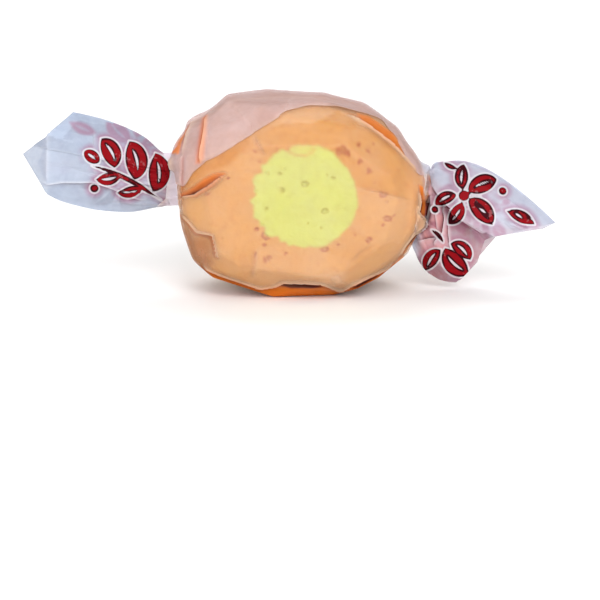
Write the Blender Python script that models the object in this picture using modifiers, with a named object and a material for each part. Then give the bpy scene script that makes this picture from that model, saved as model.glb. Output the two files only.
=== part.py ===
"""Salt water taffy: a rounded drum of orange taffy with a lemon centre, in a twisted waxed paper.

Metres, +Z up. The piece lies on its long round side with one cut face towards -Y, and the two
twists of the paper point along -X and +X. The origin is under the middle of the candy, on the
flat spot of the paper that it rests on.
"""

import math
import random

import bmesh
import bpy
from mathutils import Vector

SEED = 11

# The candy, a drum with an elliptic face and a wide round edge.
TAFFY_X = -0.0003
TAFFY_RISE = -0.00015
TAFFY_WIDTH = 0.0278
TAFFY_HEIGHT = 0.0213
TAFFY_DEPTH = 0.0172
TAFFY_EDGE = 0.0050
RIM_SEGMENTS = 44
EDGE_SEGMENTS = 5

# The drum's fuller left: discs inside its rounded outline, each with its x, its rise and radius.
SHOULDERS = ((-0.0086, 0.0032, 0.0013), (-0.0074, -0.0030, 0.0013))

# The lemon centre, a lobed rod that runs through the drum from face to face.
CENTRE_RADIUS = 0.0063
CENTRE_X = 0.0005
CENTRE_RISE = 0.0012
CENTRE_POINTS = 40
CENTRE_LOBES = ((3, 0.045, 2.1), (5, 0.030, 0.4), (8, 0.018, 3.0))

# The waxed paper. Its wall is thicker than real paper, so that it is a solid.
WALL = 0.00035
GAP = 0.0003
SLACK = 0.00008
BASE_TRIM = 0.00005
FACET_SHARPNESS = 110

# Flat facets of the stretched paper, in degrees. A facet is given by the way it faces round the
# Y axis, with 0 to the right and 90 up, and by its tilt from the front, which is -Y.
RIM_FACETS = (90, 74, 57, 38, -9, -29, -49, -69, -90, -106, -130, -154, 187, 153, 122)
FRONT_TILTS = ((25, 9), (140, 11), (215, 8), (320, 10))
BACK_TILTS = ((60, 170), (165, 172), (250, 169))

# Rings of facets on the round edges between faces and rim: tilt, how many go round, and jitter.
EDGE_RINGS = ((36, 10, 5), (64, 13, 5), (116, 13, 5), (144, 10, 5))

# The lap of the rolled sheet on the upper front: its edge, its full rise and where it fades out.
LAP_EDGE = 58
LAP_FULL = 90
LAP_END = 118
LAP_RISE = 0.0003

# The necks: how far each pole is turned about Y, and the polar angle where the neck starts.
LEFT_TURN = math.radians(5.6)
RIGHT_TURN = math.radians(9.5)
LEFT_NECK = math.radians(12.8)
RIGHT_NECK = math.radians(16.5)
NECK_FLATNESS = 0.55
NECK_EASE = math.radians(11.5)
LAP_EASE = math.radians(20)

# The pleats that run from the necks over the shoulders. A pleat rises slowly and drops fast.
PLEATS = 12
PLEAT_PROFILE = (0.0, 0.35, 0.70, 1.0, 0.25)
PLEAT_RISE = 0.0006
PLEAT_SHORTEST = math.radians(16)
PLEAT_LONGEST = math.radians(52)
COLUMNS = PLEATS * len(PLEAT_PROFILE)
BODY_ROWS = 22
FAN_ROWS = 9

# The folds of a twist: the column that each starts from at the neck, then the middle and the end
# of its curve, in millimetres from the middle of the body.
LEFT_FOLDS = (
    (0, (-23.5, -2.7, 2.6), (-33.4, -0.9, 4.6)),
    (9, (-21.4, -2.3, 7.4), (-29.6, -0.9, 7.7)),
    (15, (-20.7, 0.0, 9.7), (-27.4, 0.6, 9.6)),
    (22, (-21.5, 2.6, 6.6), (-30.2, 1.7, 7.0)),
    (30, (-23.2, 3.0, 3.0), (-31.8, 1.3, 3.2)),
    (38, (-22.0, 2.5, 0.0), (-30.6, 1.5, 0.5)),
    (45, (-23.6, 0.0, -3.7), (-30.2, 0.2, 0.0)),
    (52, (-23.5, -2.6, 3.0), (-31.3, -1.1, 1.3)),
)
RIGHT_FOLDS = (
    (0, (16.4, -2.7, -5.0), (20.6, -2.2, -8.0)),
    (5, (17.6, -1.7, -2.4), (21.5, -1.6, -5.5)),
    (8, (17.3, -3.9, -1.6), (22.4, -3.4, -4.7)),
    (12, (21.5, -2.6, 3.4), (28.4, -1.9, -4.0)),
    (16, (21.4, 0.0, 6.8), (29.9, 0.0, -3.6)),
    (21, (21.0, 2.5, 3.2), (28.0, 1.0, -4.3)),
    (30, (18.5, 2.9, -2.5), (24.6, 1.6, -6.2)),
    (39, (15.8, 2.0, -7.6), (20.2, 1.2, -9.0)),
    (46, (14.0, -0.6, -10.6), (18.1, -0.9, -10.7)),
    (53, (14.8, -2.7, -8.4), (18.8, -1.9, -10.0)),
)

HALF_WIDTH = TAFFY_WIDTH / 2
HALF_HEIGHT = TAFFY_HEIGHT / 2
HALF_DEPTH = TAFFY_DEPTH / 2
CORE_WIDTH = HALF_WIDTH - TAFFY_EDGE
CORE_HEIGHT = HALF_HEIGHT - TAFFY_EDGE
STANDOFF = WALL + GAP + SLACK
BODY_RISE = HALF_HEIGHT - TAFFY_RISE + STANDOFF - BASE_TRIM
MILLIMETRE = 0.001

ORANGE = (0.86, 0.34, 0.08)
LEMON = (0.84, 0.78, 0.16)
PAPER = (0.72, 0.66, 0.70)


def smooth(t):
    """A smooth step from 0 to 1."""
    t = min(max(t, 0.0), 1.0)
    return t * t * (3 - 2 * t)


def bezier(start, middle, end, s):
    """A point on a quadratic curve."""
    return start * (1 - s) ** 2 + middle * (2 * s * (1 - s)) + end * s**2


def ellipse_reach(x, z):
    """How far the ellipse inside the rounded outline reaches along a direction."""
    return TAFFY_X * x + TAFFY_RISE * z + math.hypot(CORE_WIDTH * x, CORE_HEIGHT * z)


def disc_reach(disc, x, z):
    """How far a shoulder's disc reaches along a direction in the plane of the face."""
    at_x, rise, radius = disc
    return at_x * x + rise * z + radius * math.hypot(x, z)


def candy_support(normal):
    """How far the rounded drum reaches along a unit normal."""
    rim = ellipse_reach(normal.x, normal.z)
    for disc in SHOULDERS:
        rim = max(rim, disc_reach(disc, normal.x, normal.z))
    return rim + (HALF_DEPTH - TAFFY_EDGE) * abs(normal.y) + TAFFY_EDGE


def rim_point(turn):
    """The point of the drum's outline whose normal is turned so far, with 0 to the right."""
    x = math.cos(turn)
    z = math.sin(turn)
    disc = max(SHOULDERS, key=lambda one: disc_reach(one, x, z))
    if ellipse_reach(x, z) < disc_reach(disc, x, z):
        edge = disc[2] + TAFFY_EDGE
        return disc[0] + edge * x, disc[1] + edge * z
    size = math.hypot(CORE_WIDTH * x, CORE_HEIGHT * z)
    wide = CORE_WIDTH**2 / size + TAFFY_EDGE
    high = CORE_HEIGHT**2 / size + TAFFY_EDGE
    return TAFFY_X + x * wide, TAFFY_RISE + z * high


def facet_normal(turn, tilt):
    """The normal of a facet that faces a way round the Y axis, with its tilt from the front."""
    side = math.radians(turn)
    slope = math.radians(tilt)
    sideways = Vector((math.cos(side), 0, math.sin(side)))
    return sideways * math.sin(slope) - Vector((0, math.cos(slope), 0))


def facet_normals():
    """Normals of the flat facets that the tight paper makes over the candy."""
    draw = random.Random(SEED)
    facets = [(0, 0), (0, 180)]
    facets += [(turn, 90) for turn in RIM_FACETS]
    facets += FRONT_TILTS + BACK_TILTS
    for tilt, count, jitter in EDGE_RINGS:
        start = draw.uniform(0, 360 / count)
        for i in range(count):
            turn = start + 360 / count * i + draw.uniform(-jitter, jitter)
            facets.append((turn, tilt + draw.uniform(-jitter, jitter)))
    return [facet_normal(turn, tilt) for turn, tilt in facets]


def hull_reach(direction, facets):
    """How far the facets' hull, with slightly soft edges, reaches from the middle."""
    total = 0.0
    for normal, reach in facets:
        share = normal.dot(direction) / reach
        if share > 0:
            total += (share * HALF_WIDTH) ** FACET_SHARPNESS
    return HALF_WIDTH * total ** (-1 / FACET_SHARPNESS)


def column_angle(column):
    """The angle of a column round the X axis: 0 is the front, 90 degrees the top."""
    even = 2 * math.pi * column / COLUMNS
    return even + 0.09 * math.sin(even + 0.8) + 0.06 * math.sin(2 * even + 2.0)


def pleats():
    """(height, reach over the shoulder) of each pleat."""
    draw = random.Random(SEED + 1)
    return [
        (draw.uniform(0.55, 1.0), draw.uniform(PLEAT_SHORTEST, PLEAT_LONGEST)) for _ in range(PLEATS)
    ]


def lap_height(angle):
    """The rise of the outer layer where the sheet laps over itself."""
    turn = math.degrees(angle) % 360
    if not LAP_EDGE <= turn <= LAP_END:
        return 0.0
    return LAP_RISE * (1 - smooth((turn - LAP_FULL) / (LAP_END - LAP_FULL)))


def body_point(polar, column, facets, folds):
    """A point of the paper over the candy, at a polar angle from the axis through the necks."""
    share = smooth(polar / math.pi)
    turn = RIGHT_TURN + (LEFT_TURN - RIGHT_TURN) * share
    neck = RIGHT_NECK if polar < math.pi / 2 else LEFT_NECK
    axis = Vector((math.cos(turn), 0, -math.sin(turn)))
    up = Vector((math.sin(turn), 0, math.cos(turn)))
    angle = column_angle(column)
    side = Vector((0, -math.cos(angle), 0)) + up * math.sin(angle)
    direction = axis * math.cos(polar) + side * math.sin(polar)
    from_neck = min(polar, math.pi - polar) - neck
    height, reach = folds[column // len(PLEAT_PROFILE)]
    profile = PLEAT_PROFILE[column % len(PLEAT_PROFILE)]
    rise = PLEAT_RISE * height * profile * (1 - smooth(from_neck / reach))
    rise += lap_height(angle) * smooth(from_neck / LAP_EASE)
    point = direction * (hull_reach(direction, facets) + rise)
    point.y *= 1 - NECK_FLATNESS * (1 - smooth(from_neck / NECK_EASE))
    return point


def fan_point(fan, neck_ring, column, s):
    """A point of a twist, s of the way from its neck to its rim, on the panel between two folds."""
    after = next((k for k, fold in enumerate(fan) if fold[0] > column), 0)
    near = fan[after - 1]
    far = fan[after]
    span = (far[0] - near[0]) % COLUMNS
    share = (column - near[0]) % COLUMNS / span
    ends = []
    for start, middle, end in (near, far):
        middle = Vector(middle) * MILLIMETRE
        end = Vector(end) * MILLIMETRE
        ends.append(bezier(neck_ring[start], middle, end, s))
    flat = ends[0].lerp(ends[1], share)
    chord = neck_ring[near[0]].lerp(neck_ring[far[0]], share)
    flat += (neck_ring[column] - chord) * (1 - s) ** 2
    return flat


def paper_rings():
    """The rings of the paper's outer face, from the left rim to the right rim."""
    facets = [(n, candy_support(n) + STANDOFF) for n in facet_normals()]
    folds = pleats()
    body = []
    first = math.pi - LEFT_NECK
    for i in range(BODY_ROWS + 1):
        polar = first + (RIGHT_NECK - first) * i / BODY_ROWS
        body.append([body_point(polar, c, facets, folds) for c in range(COLUMNS)])
    left = []
    right = []
    for i in range(1, FAN_ROWS + 1):
        s = i / FAN_ROWS
        left.append([fan_point(LEFT_FOLDS, body[0], c, s) for c in range(COLUMNS)])
        right.append([fan_point(RIGHT_FOLDS, body[-1], c, s) for c in range(COLUMNS)])
    return left[::-1] + body + right


def paint(piece, colour, roughness, alpha=1.0):
    """Gives a piece its own material."""
    material = bpy.data.materials.new(piece.name)
    material.use_nodes = True
    shader = material.node_tree.nodes["Principled BSDF"]
    shader.inputs["Base Color"].default_value = (*colour, 1)
    shader.inputs["Roughness"].default_value = roughness
    shader.inputs["Metallic"].default_value = 0.0
    shader.inputs["Alpha"].default_value = alpha
    piece.data.materials.clear()
    piece.data.materials.append(material)


def make_wrapper(collection):
    """The paper: one open tube, lofted from twist to twist, with its wall made inwards."""
    mesh = bpy.data.meshes.new("wrapper")
    form = bmesh.new()
    rings = []
    for ring in paper_rings():
        rings.append([form.verts.new((p.x, p.y, max(p.z, -BODY_RISE) + BODY_RISE)) for p in ring])
    for low, high in zip(rings, rings[1:]):
        for i in range(COLUMNS):
            k = (i + 1) % COLUMNS
            form.faces.new((low[i], high[i], high[k], low[k]))
    form.to_mesh(mesh)
    form.free()
    wrapper = bpy.data.objects.new("wrapper", mesh)
    collection.objects.link(wrapper)
    wall = wrapper.modifiers.new("wall", "SOLIDIFY")
    wall.thickness = WALL
    wall.offset = -1
    wall.use_rim = True
    paint(wrapper, PAPER, 0.45, 0.6)
    return wrapper


def make_drum(name, collection):
    """The whole candy: a primitive cylinder along Y, drawn out to the drum's outline and bevelled."""
    bpy.ops.mesh.primitive_cylinder_add(
        vertices=RIM_SEGMENTS, radius=1, depth=TAFFY_DEPTH, end_fill_type="NGON"
    )
    drum = bpy.context.object
    drum.name = name
    drum.rotation_euler = (math.radians(90), 0, 0)
    bpy.ops.object.transform_apply(location=False, rotation=True, scale=True)
    for vertex in drum.data.vertices:
        vertex.co.x, vertex.co.z = rim_point(math.atan2(vertex.co.z, vertex.co.x))
    bevel = drum.modifiers.new("round edge", "BEVEL")
    bevel.width = TAFFY_EDGE
    bevel.segments = EDGE_SEGMENTS
    bevel.limit_method = "ANGLE"
    bevel.angle_limit = math.radians(60)
    drum.location = (0, 0, BODY_RISE)
    for owner in drum.users_collection:
        owner.objects.unlink(drum)
    collection.objects.link(drum)
    return drum


def centre_outline(radius):
    """The lobed outline of the lemon centre."""
    points = []
    for i in range(CENTRE_POINTS):
        angle = 2 * math.pi * i / CENTRE_POINTS
        reach = radius * (1 + sum(h * math.cos(n * angle + p) for n, h, p in CENTRE_LOBES))
        points.append((reach * math.cos(angle), reach * math.sin(angle)))
    return points


def make_rod(name, radius, half_length, collection):
    """A lobed rod along Y, from a flat outline curve that is given a thickness."""
    curve = bpy.data.curves.new(name, "CURVE")
    curve.dimensions = "2D"
    curve.fill_mode = "BOTH"
    curve.extrude = half_length
    outline = centre_outline(radius)
    spline = curve.splines.new("POLY")
    spline.points.add(len(outline) - 1)
    for point, (x, z) in zip(spline.points, outline):
        point.co = (x, z, 0, 1)
    spline.use_cyclic_u = True
    guide = bpy.data.objects.new(name + "_outline", curve)
    guide.rotation_euler = (math.radians(90), 0, 0)
    guide.location = (CENTRE_X, 0, BODY_RISE + CENTRE_RISE)
    collection.objects.link(guide)
    bpy.context.view_layer.update()
    evaluated = guide.evaluated_get(bpy.context.evaluated_depsgraph_get())
    mesh = bpy.data.meshes.new_from_object(evaluated)
    form = bmesh.new()
    form.from_mesh(mesh)
    bmesh.ops.remove_doubles(form, verts=form.verts, dist=1e-6)
    bmesh.ops.recalc_face_normals(form, faces=form.faces)
    form.to_mesh(mesh)
    form.free()
    rod = bpy.data.objects.new(name, mesh)
    rod.matrix_world = guide.matrix_world.copy()
    bpy.data.objects.remove(guide)
    collection.objects.link(rod)
    return rod


def as_cutter(piece):
    """Marks a helper that is not a part."""
    piece.hide_render = True
    piece.display_type = "WIRE"
    return piece


def cut(piece, cutter, operation):
    """Cuts a piece by a cutter, or keeps what both share."""
    boolean = piece.modifiers.new(operation.lower(), "BOOLEAN")
    boolean.operation = operation
    boolean.solver = "EXACT"
    boolean.object = cutter


def make_candy(parts, cutters):
    """The orange taffy with its through hole, and the lemon centre that fills the hole."""
    taffy = make_drum("taffy", parts)
    hole = as_cutter(make_rod("centre_hole", CENTRE_RADIUS + GAP, TAFFY_DEPTH, cutters))
    cut(taffy, hole, "DIFFERENCE")
    paint(taffy, ORANGE, 0.5)
    centre = make_rod("centre", CENTRE_RADIUS, TAFFY_DEPTH, parts)
    whole = as_cutter(make_drum("whole_candy", cutters))
    cut(centre, whole, "INTERSECT")
    paint(centre, LEMON, 0.5)


def main():
    """Clears the scene and builds the sweet."""
    for old in list(bpy.data.objects):
        bpy.data.objects.remove(old)
    parts = bpy.data.collections.new("salt_water_taffy")
    cutters = bpy.data.collections.new("cutters")
    bpy.context.scene.collection.children.link(parts)
    bpy.context.scene.collection.children.link(cutters)
    make_candy(parts, cutters)
    make_wrapper(parts)


main()
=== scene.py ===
"""A wrapped salt water taffy: its candy, its waxed paper and a plain studio, in Blender.

Shapes are worked out in millimetres from the middle of the candy, with x towards the right
twist, y towards the back cut face and z up. A mesh is in metres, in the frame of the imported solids.
"""

import enum
import logging
import math
import random
from collections.abc import Callable
from dataclasses import dataclass, field

import bpy
import numpy as np
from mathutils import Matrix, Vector
from mathutils.geometry import delaunay_2d_cdt


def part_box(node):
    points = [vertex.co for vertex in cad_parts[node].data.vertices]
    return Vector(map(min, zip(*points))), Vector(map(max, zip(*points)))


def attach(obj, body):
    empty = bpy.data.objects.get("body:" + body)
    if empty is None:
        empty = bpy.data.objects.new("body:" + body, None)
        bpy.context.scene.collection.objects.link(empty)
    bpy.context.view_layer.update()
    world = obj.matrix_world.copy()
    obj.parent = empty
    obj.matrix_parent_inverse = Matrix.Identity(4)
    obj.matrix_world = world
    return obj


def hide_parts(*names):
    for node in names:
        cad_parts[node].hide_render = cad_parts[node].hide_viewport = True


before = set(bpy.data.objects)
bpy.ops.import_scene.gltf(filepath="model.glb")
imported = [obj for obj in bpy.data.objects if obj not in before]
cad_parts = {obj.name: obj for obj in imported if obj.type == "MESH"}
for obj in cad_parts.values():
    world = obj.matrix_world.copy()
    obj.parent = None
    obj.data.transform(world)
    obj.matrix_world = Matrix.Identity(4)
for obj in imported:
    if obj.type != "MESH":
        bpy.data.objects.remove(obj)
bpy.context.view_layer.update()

Array = np.ndarray

LOG = logging.getLogger("taffy")
METRES = 0.001
SEED = 11
VIEW_RISE = math.radians(12.5)
VIEW_AIM = (-0.48, -12.8)
VIEW_DISTANCE = 357.1
ORANGE = (0.59, 0.29, 0.080)
LEMON = (0.58, 0.575, 0.145)
NOWHERE_NEAR = 9.0
FINE_STEPS = 3001
OUTLINE_STEPS = 1441
GAP_DIRECTIONS = 120
COLLAR_SHARE = 0.09


class Face(enum.Enum):
    """The two cut faces of the candy, by their direction along y."""

    FRONT = -1
    BACK = 1


class Layer(enum.Enum):
    """The parts of the sheet that a lip can lie on."""

    FACE = "single layer over the candy"
    LAP = "outer layer over the candy"
    TWIST = "twists and their necks"


def smooth(t: Array | float) -> Array:
    """A smooth step from 0 to 1.

    Args:
        t: The place between the two ends.

    Returns:
        The eased place.
    """
    t = np.clip(t, 0.0, 1.0)
    return t * t * (3 - 2 * t)


def bell(t: Array) -> Array:
    """A bell curve, which is 1 at 0 and falls off to both sides."""
    return np.exp(-(t**2))


def uneven(start: float, stop: float, count: int, density: Callable) -> Array:
    """Places between two ends, closer together where more of them are wanted.

    Args:
        start: The first place.
        stop: The last place.
        count: How many places there are.
        density: Gives how close together they are, for an array of places.

    Returns:
        The places.
    """
    fine = np.linspace(start, stop, FINE_STEPS)
    total = np.cumsum(density(fine))
    share = (total - total[0]) / (total[-1] - total[0])
    return np.interp(np.linspace(0, 1, count), share, fine)


def in_view(points: Array, face: Face = Face.FRONT) -> tuple[Array, Array]:
    """Where points lie on the picture plane of someone who looks at a cut face.

    Args:
        points: Points in millimetres, with x, y and z in the last axis.
        face: The cut face that is looked at.

    Returns:
        The place to the right and the place up, in millimetres.
    """
    toward = face.value * points[..., 1]
    right = -face.value * points[..., 0] - VIEW_AIM[0]
    up = points[..., 2] * math.cos(VIEW_RISE) - toward * math.sin(VIEW_RISE) - VIEW_AIM[1]
    ahead = toward * math.cos(VIEW_RISE) + points[..., 2] * math.sin(VIEW_RISE)
    size = VIEW_DISTANCE / (VIEW_DISTANCE - ahead)
    return VIEW_AIM[0] + right * size, VIEW_AIM[1] + up * size


def trace(x: Array, up: Array, line: tuple) -> tuple[Array, ...]:
    """Finds each point's nearest place on a bent line.

    Args:
        x: The points' places to the right.
        up: Their places up.
        line: The line's points.

    Returns:
        The distance, above 0 on the line's left, the unit direction towards its left as two
        parts, and the place along the line from 0 to 1.
    """
    best = np.full(x.shape, np.inf)
    signed, place, to_x, to_up = (np.zeros(x.shape) for _ in range(4))
    line = np.array(line, dtype=float)
    count = len(line) - 1
    for i in range(count):
        start = line[i]
        step = line[i + 1] - start
        length = np.hypot(*step)
        t = ((x - start[0]) * step[0] + (up - start[1]) * step[1]) / length**2
        t = np.clip(t, 0.0, 1.0)
        away_x = x - start[0] - t * step[0]
        away_up = up - start[1] - t * step[1]
        away = np.hypot(away_x, away_up)
        side = np.where(step[0] * away_up - step[1] * away_x >= 0, 1.0, -1.0)
        nearer = away < best
        size = np.maximum(away, 1e-6)
        close = away < 1e-4
        best = np.where(nearer, away, best)
        signed = np.where(nearer, side * away, signed)
        place = np.where(nearer, (i + t) / count, place)
        unit_x = np.where(close, -step[1] / length, side * away_x / size)
        unit_up = np.where(close, step[0] / length, side * away_up / size)
        to_x = np.where(nearer, unit_x, to_x)
        to_up = np.where(nearer, unit_up, to_up)
    return signed, to_x, to_up, place


def line_inside(x: Array, up: Array, line: tuple) -> Array:
    """Which points lie inside a closed line.

    Args:
        x: The points' places to the right.
        up: Their places up.
        line: The line's points, without the first one again.

    Returns:
        True inside.
    """
    inside = np.zeros(x.shape, dtype=bool)
    for (ax, az), (bx, bz) in zip(line, line[1:] + line[:1]):
        if az != bz:
            crossed = (az > up) != (bz > up)
            inside ^= crossed & (x < (bx - ax) * (up - az) / (bz - az) + ax)
    return inside


def depth_inside(x: Array, up: Array, line: tuple) -> Array:
    """How far points are inside a closed line.

    Args:
        x: The points' places to the right.
        up: Their places up.
        line: The line's points, without the first one again.

    Returns:
        Distances in millimetres, below 0 outside.
    """
    far = np.abs(trace(x, up, line + line[:1])[0])
    return np.where(line_inside(x, up, line), far, -far)


def soft_inside(x: Array, up: Array, line: tuple, edge: float) -> Array:
    """Which points are inside a closed line, eased over its edge.

    Args:
        x: The points' places to the right.
        up: Their places up.
        line: The line's points, without the first one again.
        edge: Half the width of the soft edge.

    Returns:
        Shares from 0 to 1.
    """
    return smooth(0.5 + depth_inside(x, up, line) / (2 * edge))


def clear_selection() -> None:
    """Deselects every object."""
    for item in bpy.context.selected_objects:
        item.select_set(False)


def select_only(piece: bpy.types.Object) -> None:
    """Selects one object and makes it the active one.

    Args:
        piece: The object.
    """
    clear_selection()
    bpy.context.view_layer.objects.active = piece
    piece.select_set(True)


@dataclass(frozen=True)
class CandyForm:
    """The pulled candy as a drum along y, with a wide round edge and a fuller left side."""

    half_width: float
    half_height: float
    half_depth: float
    rise: float
    edge: float = 5.0
    middle: tuple = (-0.3, -0.15)
    shoulders: tuple = ((-8.6, 3.2, 1.3), (-7.4, -3.0, 1.3))
    face_end: float = 0.32
    bend_length: float = 0.12
    bend_end: float = 0.44

    @classmethod
    def from_frame(cls) -> "CandyForm":
        """Reads the drum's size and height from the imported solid.

        Returns:
            The drum, in millimetres.
        """
        low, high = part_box("taffy")
        half = (high - low) / 2 / METRES
        width = high.x / METRES - cls.middle[0]
        return cls(width, half.z, half.y, (high.z + low.z) / 2 / METRES - cls.middle[1])

    def core_support(self, x: Array, z: Array) -> Array:
        """How far the outline inside the round edge reaches along directions.

        Args:
            x: The directions' parts to the right.
            z: The directions' parts up.

        Returns:
            The reach of the ellipse and of each shoulder's disc, along the first axis.
        """
        ellipse = np.hypot((self.half_width - self.edge) * x, (self.half_height - self.edge) * z)
        reaches = [self.middle[0] * x + self.middle[1] * z + ellipse]
        for at_x, at_z, radius in self.shoulders:
            reaches.append(at_x * x + at_z * z + radius * np.hypot(x, z))
        return np.array(reaches)

    def support(self, normals: Array) -> Array:
        """How far the drum reaches along unit normals.

        Args:
            normals: Unit vectors.

        Returns:
            One distance for each normal.
        """
        rim = self.core_support(normals[..., 0], normals[..., 2]).max(axis=0)
        return rim + (self.half_depth - self.edge) * np.abs(normals[..., 1]) + self.edge

    def gap(self, points: Array) -> Array:
        """How far points stand off the drum.

        Args:
            points: Points in millimetres.

        Returns:
            Distances, below 0 inside the drum.
        """
        x, y, z = np.moveaxis(points, -1, 0)
        flat = np.zeros(x.shape)
        for turn in np.linspace(0, 2 * math.pi, GAP_DIRECTIONS, endpoint=False):
            reach = self.core_support(math.cos(turn), math.sin(turn)).max()
            flat = np.maximum(flat, x * math.cos(turn) + z * math.sin(turn) - reach)
        deep = np.clip(np.abs(y) - self.half_depth + self.edge, 0, None)
        return np.hypot(flat, deep) - self.edge

    def outline(self, share: Array) -> tuple[Array, Array]:
        """Evenly spaced points round the drum.

        Args:
            share: Places along the outline, from 0 at the right to 1 after a whole turn.

        Returns:
            The points of the core inside the round edge, and the outward normals there.
        """
        turn = np.linspace(0, 2 * math.pi, OUTLINE_STEPS)
        x, z = np.cos(turn), np.sin(turn)
        wide, high = self.half_width - self.edge, self.half_height - self.edge
        size = np.hypot(wide * x, high * z)
        cores_x = [self.middle[0] + wide**2 * x / size]
        cores_z = [self.middle[1] + high**2 * z / size]
        for at_x, at_z, radius in self.shoulders:
            cores_x.append(at_x + radius * x)
            cores_z.append(at_z + radius * z)
        best = self.core_support(x, z).argmax(axis=0)
        core_x = np.choose(best, cores_x)
        core_z = np.choose(best, cores_z)
        steps = np.hypot(np.diff(core_x + self.edge * x), np.diff(core_z + self.edge * z))
        place = np.concatenate([[0], np.cumsum(steps)]) / steps.sum()
        core = [np.interp(share % 1, place, values) for values in (core_x, core_z)]
        normal = np.stack([np.interp(share % 1, place, values) for values in (x, z)], axis=-1)
        return np.stack(core, axis=-1), normal / np.linalg.norm(normal, axis=-1, keepdims=True)

    def skin(self, share: Array, along: Array) -> Array:
        """Points of the drum's surface.

        Args:
            share: Places round the drum, from 0 to 1.
            along: The place on the profile, from 0 at the front's middle to 1 at the back's.

        Returns:
            The points, in millimetres.
        """
        core, outward = self.outline(share)
        near = np.minimum(along, 1 - along)
        side = np.where(along < 0.5, -1.0, 1.0)
        face = np.clip(near / self.face_end, 0.0, 1.0)
        bend = np.clip((near - self.face_end) / self.bend_length, 0.0, 1.0) * math.pi / 2
        middle = np.clip((along - self.bend_end) / self.bend_length, 0.0, 1.0) * 2 - 1
        ring = core * face[..., None] + outward * (self.edge * np.sin(bend))[..., None]
        depth = side * (self.half_depth - self.edge + self.edge * np.cos(bend))
        depth = np.where(near >= self.bend_end, middle * (self.half_depth - self.edge), depth)
        return np.stack([ring[..., 0], depth, ring[..., 1]], axis=-1)


@dataclass(frozen=True)
class CentreForm:
    """The outline of the lemon centre, a lobed rod along y that is ragged on its left."""

    radius: float = 6.05
    x: float = 0.1
    rise: float = 1.15
    lobes: tuple = ((2, 0.010, 1.0), (3, 0.016, 2.1), (5, 0.012, 0.4), (8, 0.007, 3.0))
    ragged: tuple = ((11, 0.022, 0.7), (17, 0.024, 2.2), (26, 0.020, 4.0), (37, 0.014, 1.0))
    swirl: tuple = ((-2.2, 6.9), (-1.9, 6.5), (-1.0, 6.1), (0.1, 6.0), (0.9, 6.4), (1.2, 6.9))

    def reach(self, turn: Array) -> Array:
        """The outline's radius at angles round y.

        Args:
            turn: Angles, with 0 to the right.

        Returns:
            The radii, in millimetres.
        """
        shape = 1 + sum(h * np.cos(n * turn + p) for n, h, p in self.lobes)
        left = 0.25 + 0.75 * smooth((0.25 - np.cos(turn)) / 0.9)
        shape += left * sum(h * np.cos(n * turn + p) for n, h, p in self.ragged)
        return self.radius * shape

    def gap(self, x: Array, z: Array) -> Array:
        """How far points lie outside the outline.

        Args:
            x: Places to the right.
            z: Places up.

        Returns:
            Distances in millimetres, below 0 inside.
        """
        turn = np.arctan2(z - self.rise, x - self.x)
        return np.hypot(x - self.x, z - self.rise) - self.reach(turn)

    def streak(self, x: Array, z: Array) -> Array:
        """How much orange is pulled into the centre.

        Args:
            x: Places to the right.
            z: Places up.

        Returns:
            Shares from 0 to 1.
        """
        above = smooth((z - 5.9 - 0.12 * (x + 0.4) ** 2) / 1.2) * (np.abs(x) < 4)
        line = bell(trace(x, z, self.swirl)[0] / 0.22)
        return np.maximum(0.75 * line, 0.3 * above)


@dataclass(frozen=True)
class Push:
    """A soft push on the wrapped candy, which evens out round a place on the x and z plane."""

    x: float
    z: float
    right: float
    up: float
    radius: float

    def move(self, points: Array) -> Array:
        """Moves points.

        Args:
            points: Points in millimetres.

        Returns:
            The moved points.
        """
        far = np.hypot(points[..., 0] - self.x, points[..., 2] - self.z) / self.radius
        share = bell(far)[..., None]
        return points + share * np.array([self.right, 0.0, self.up])


@dataclass
class TightHull:
    """The flat facets of the paper that is stretched over the candy."""

    candy: CandyForm
    standoff: float = 0.73
    sharpness: float = 240
    rim: tuple = (90, 74, 57, 38, -9, -29, -49, -69, -90, -106, -130, -154, 187, 153, 122)
    tilts: tuple = ((25, 9), (140, 11), (215, 8), (320, 10), (60, 170), (165, 172), (250, 169))
    rings: tuple = ((36, 10, 5), (64, 13, 5), (116, 13, 5), (144, 10, 5))
    normals: Array = field(init=False)
    reaches: Array = field(init=False)

    def __post_init__(self) -> None:
        """Works out the facets' normals and their distances from the middle."""
        draw = random.Random(SEED)
        facets = [(0, 0), (0, 180)] + [(turn, 90) for turn in self.rim] + list(self.tilts)
        for tilt, count, jitter in self.rings:
            start = draw.uniform(0, 360 / count)
            for i in range(count):
                turn = start + 360 / count * i + draw.uniform(-jitter, jitter)
                facets.append((turn, tilt + draw.uniform(-jitter, jitter)))
        turn, tilt = np.radians(np.array(facets, dtype=float)).T
        self.normals = np.stack(
            [np.cos(turn) * np.sin(tilt), -np.cos(tilt), np.sin(turn) * np.sin(tilt)], axis=-1
        )
        self.reaches = self.candy.support(self.normals) + self.standoff

    def reach(self, directions: Array) -> Array:
        """How far the facets' hull reaches from the middle.

        Args:
            directions: Unit vectors.

        Returns:
            Distances in millimetres.
        """
        size = self.candy.half_width
        total = np.zeros(directions.shape[:-1])
        for normal, reach in zip(self.normals, self.reaches):
            share = np.clip(directions @ normal / reach, 0.0, None)
            total += (share * size) ** self.sharpness
        return size * total ** (-1 / self.sharpness)


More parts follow.
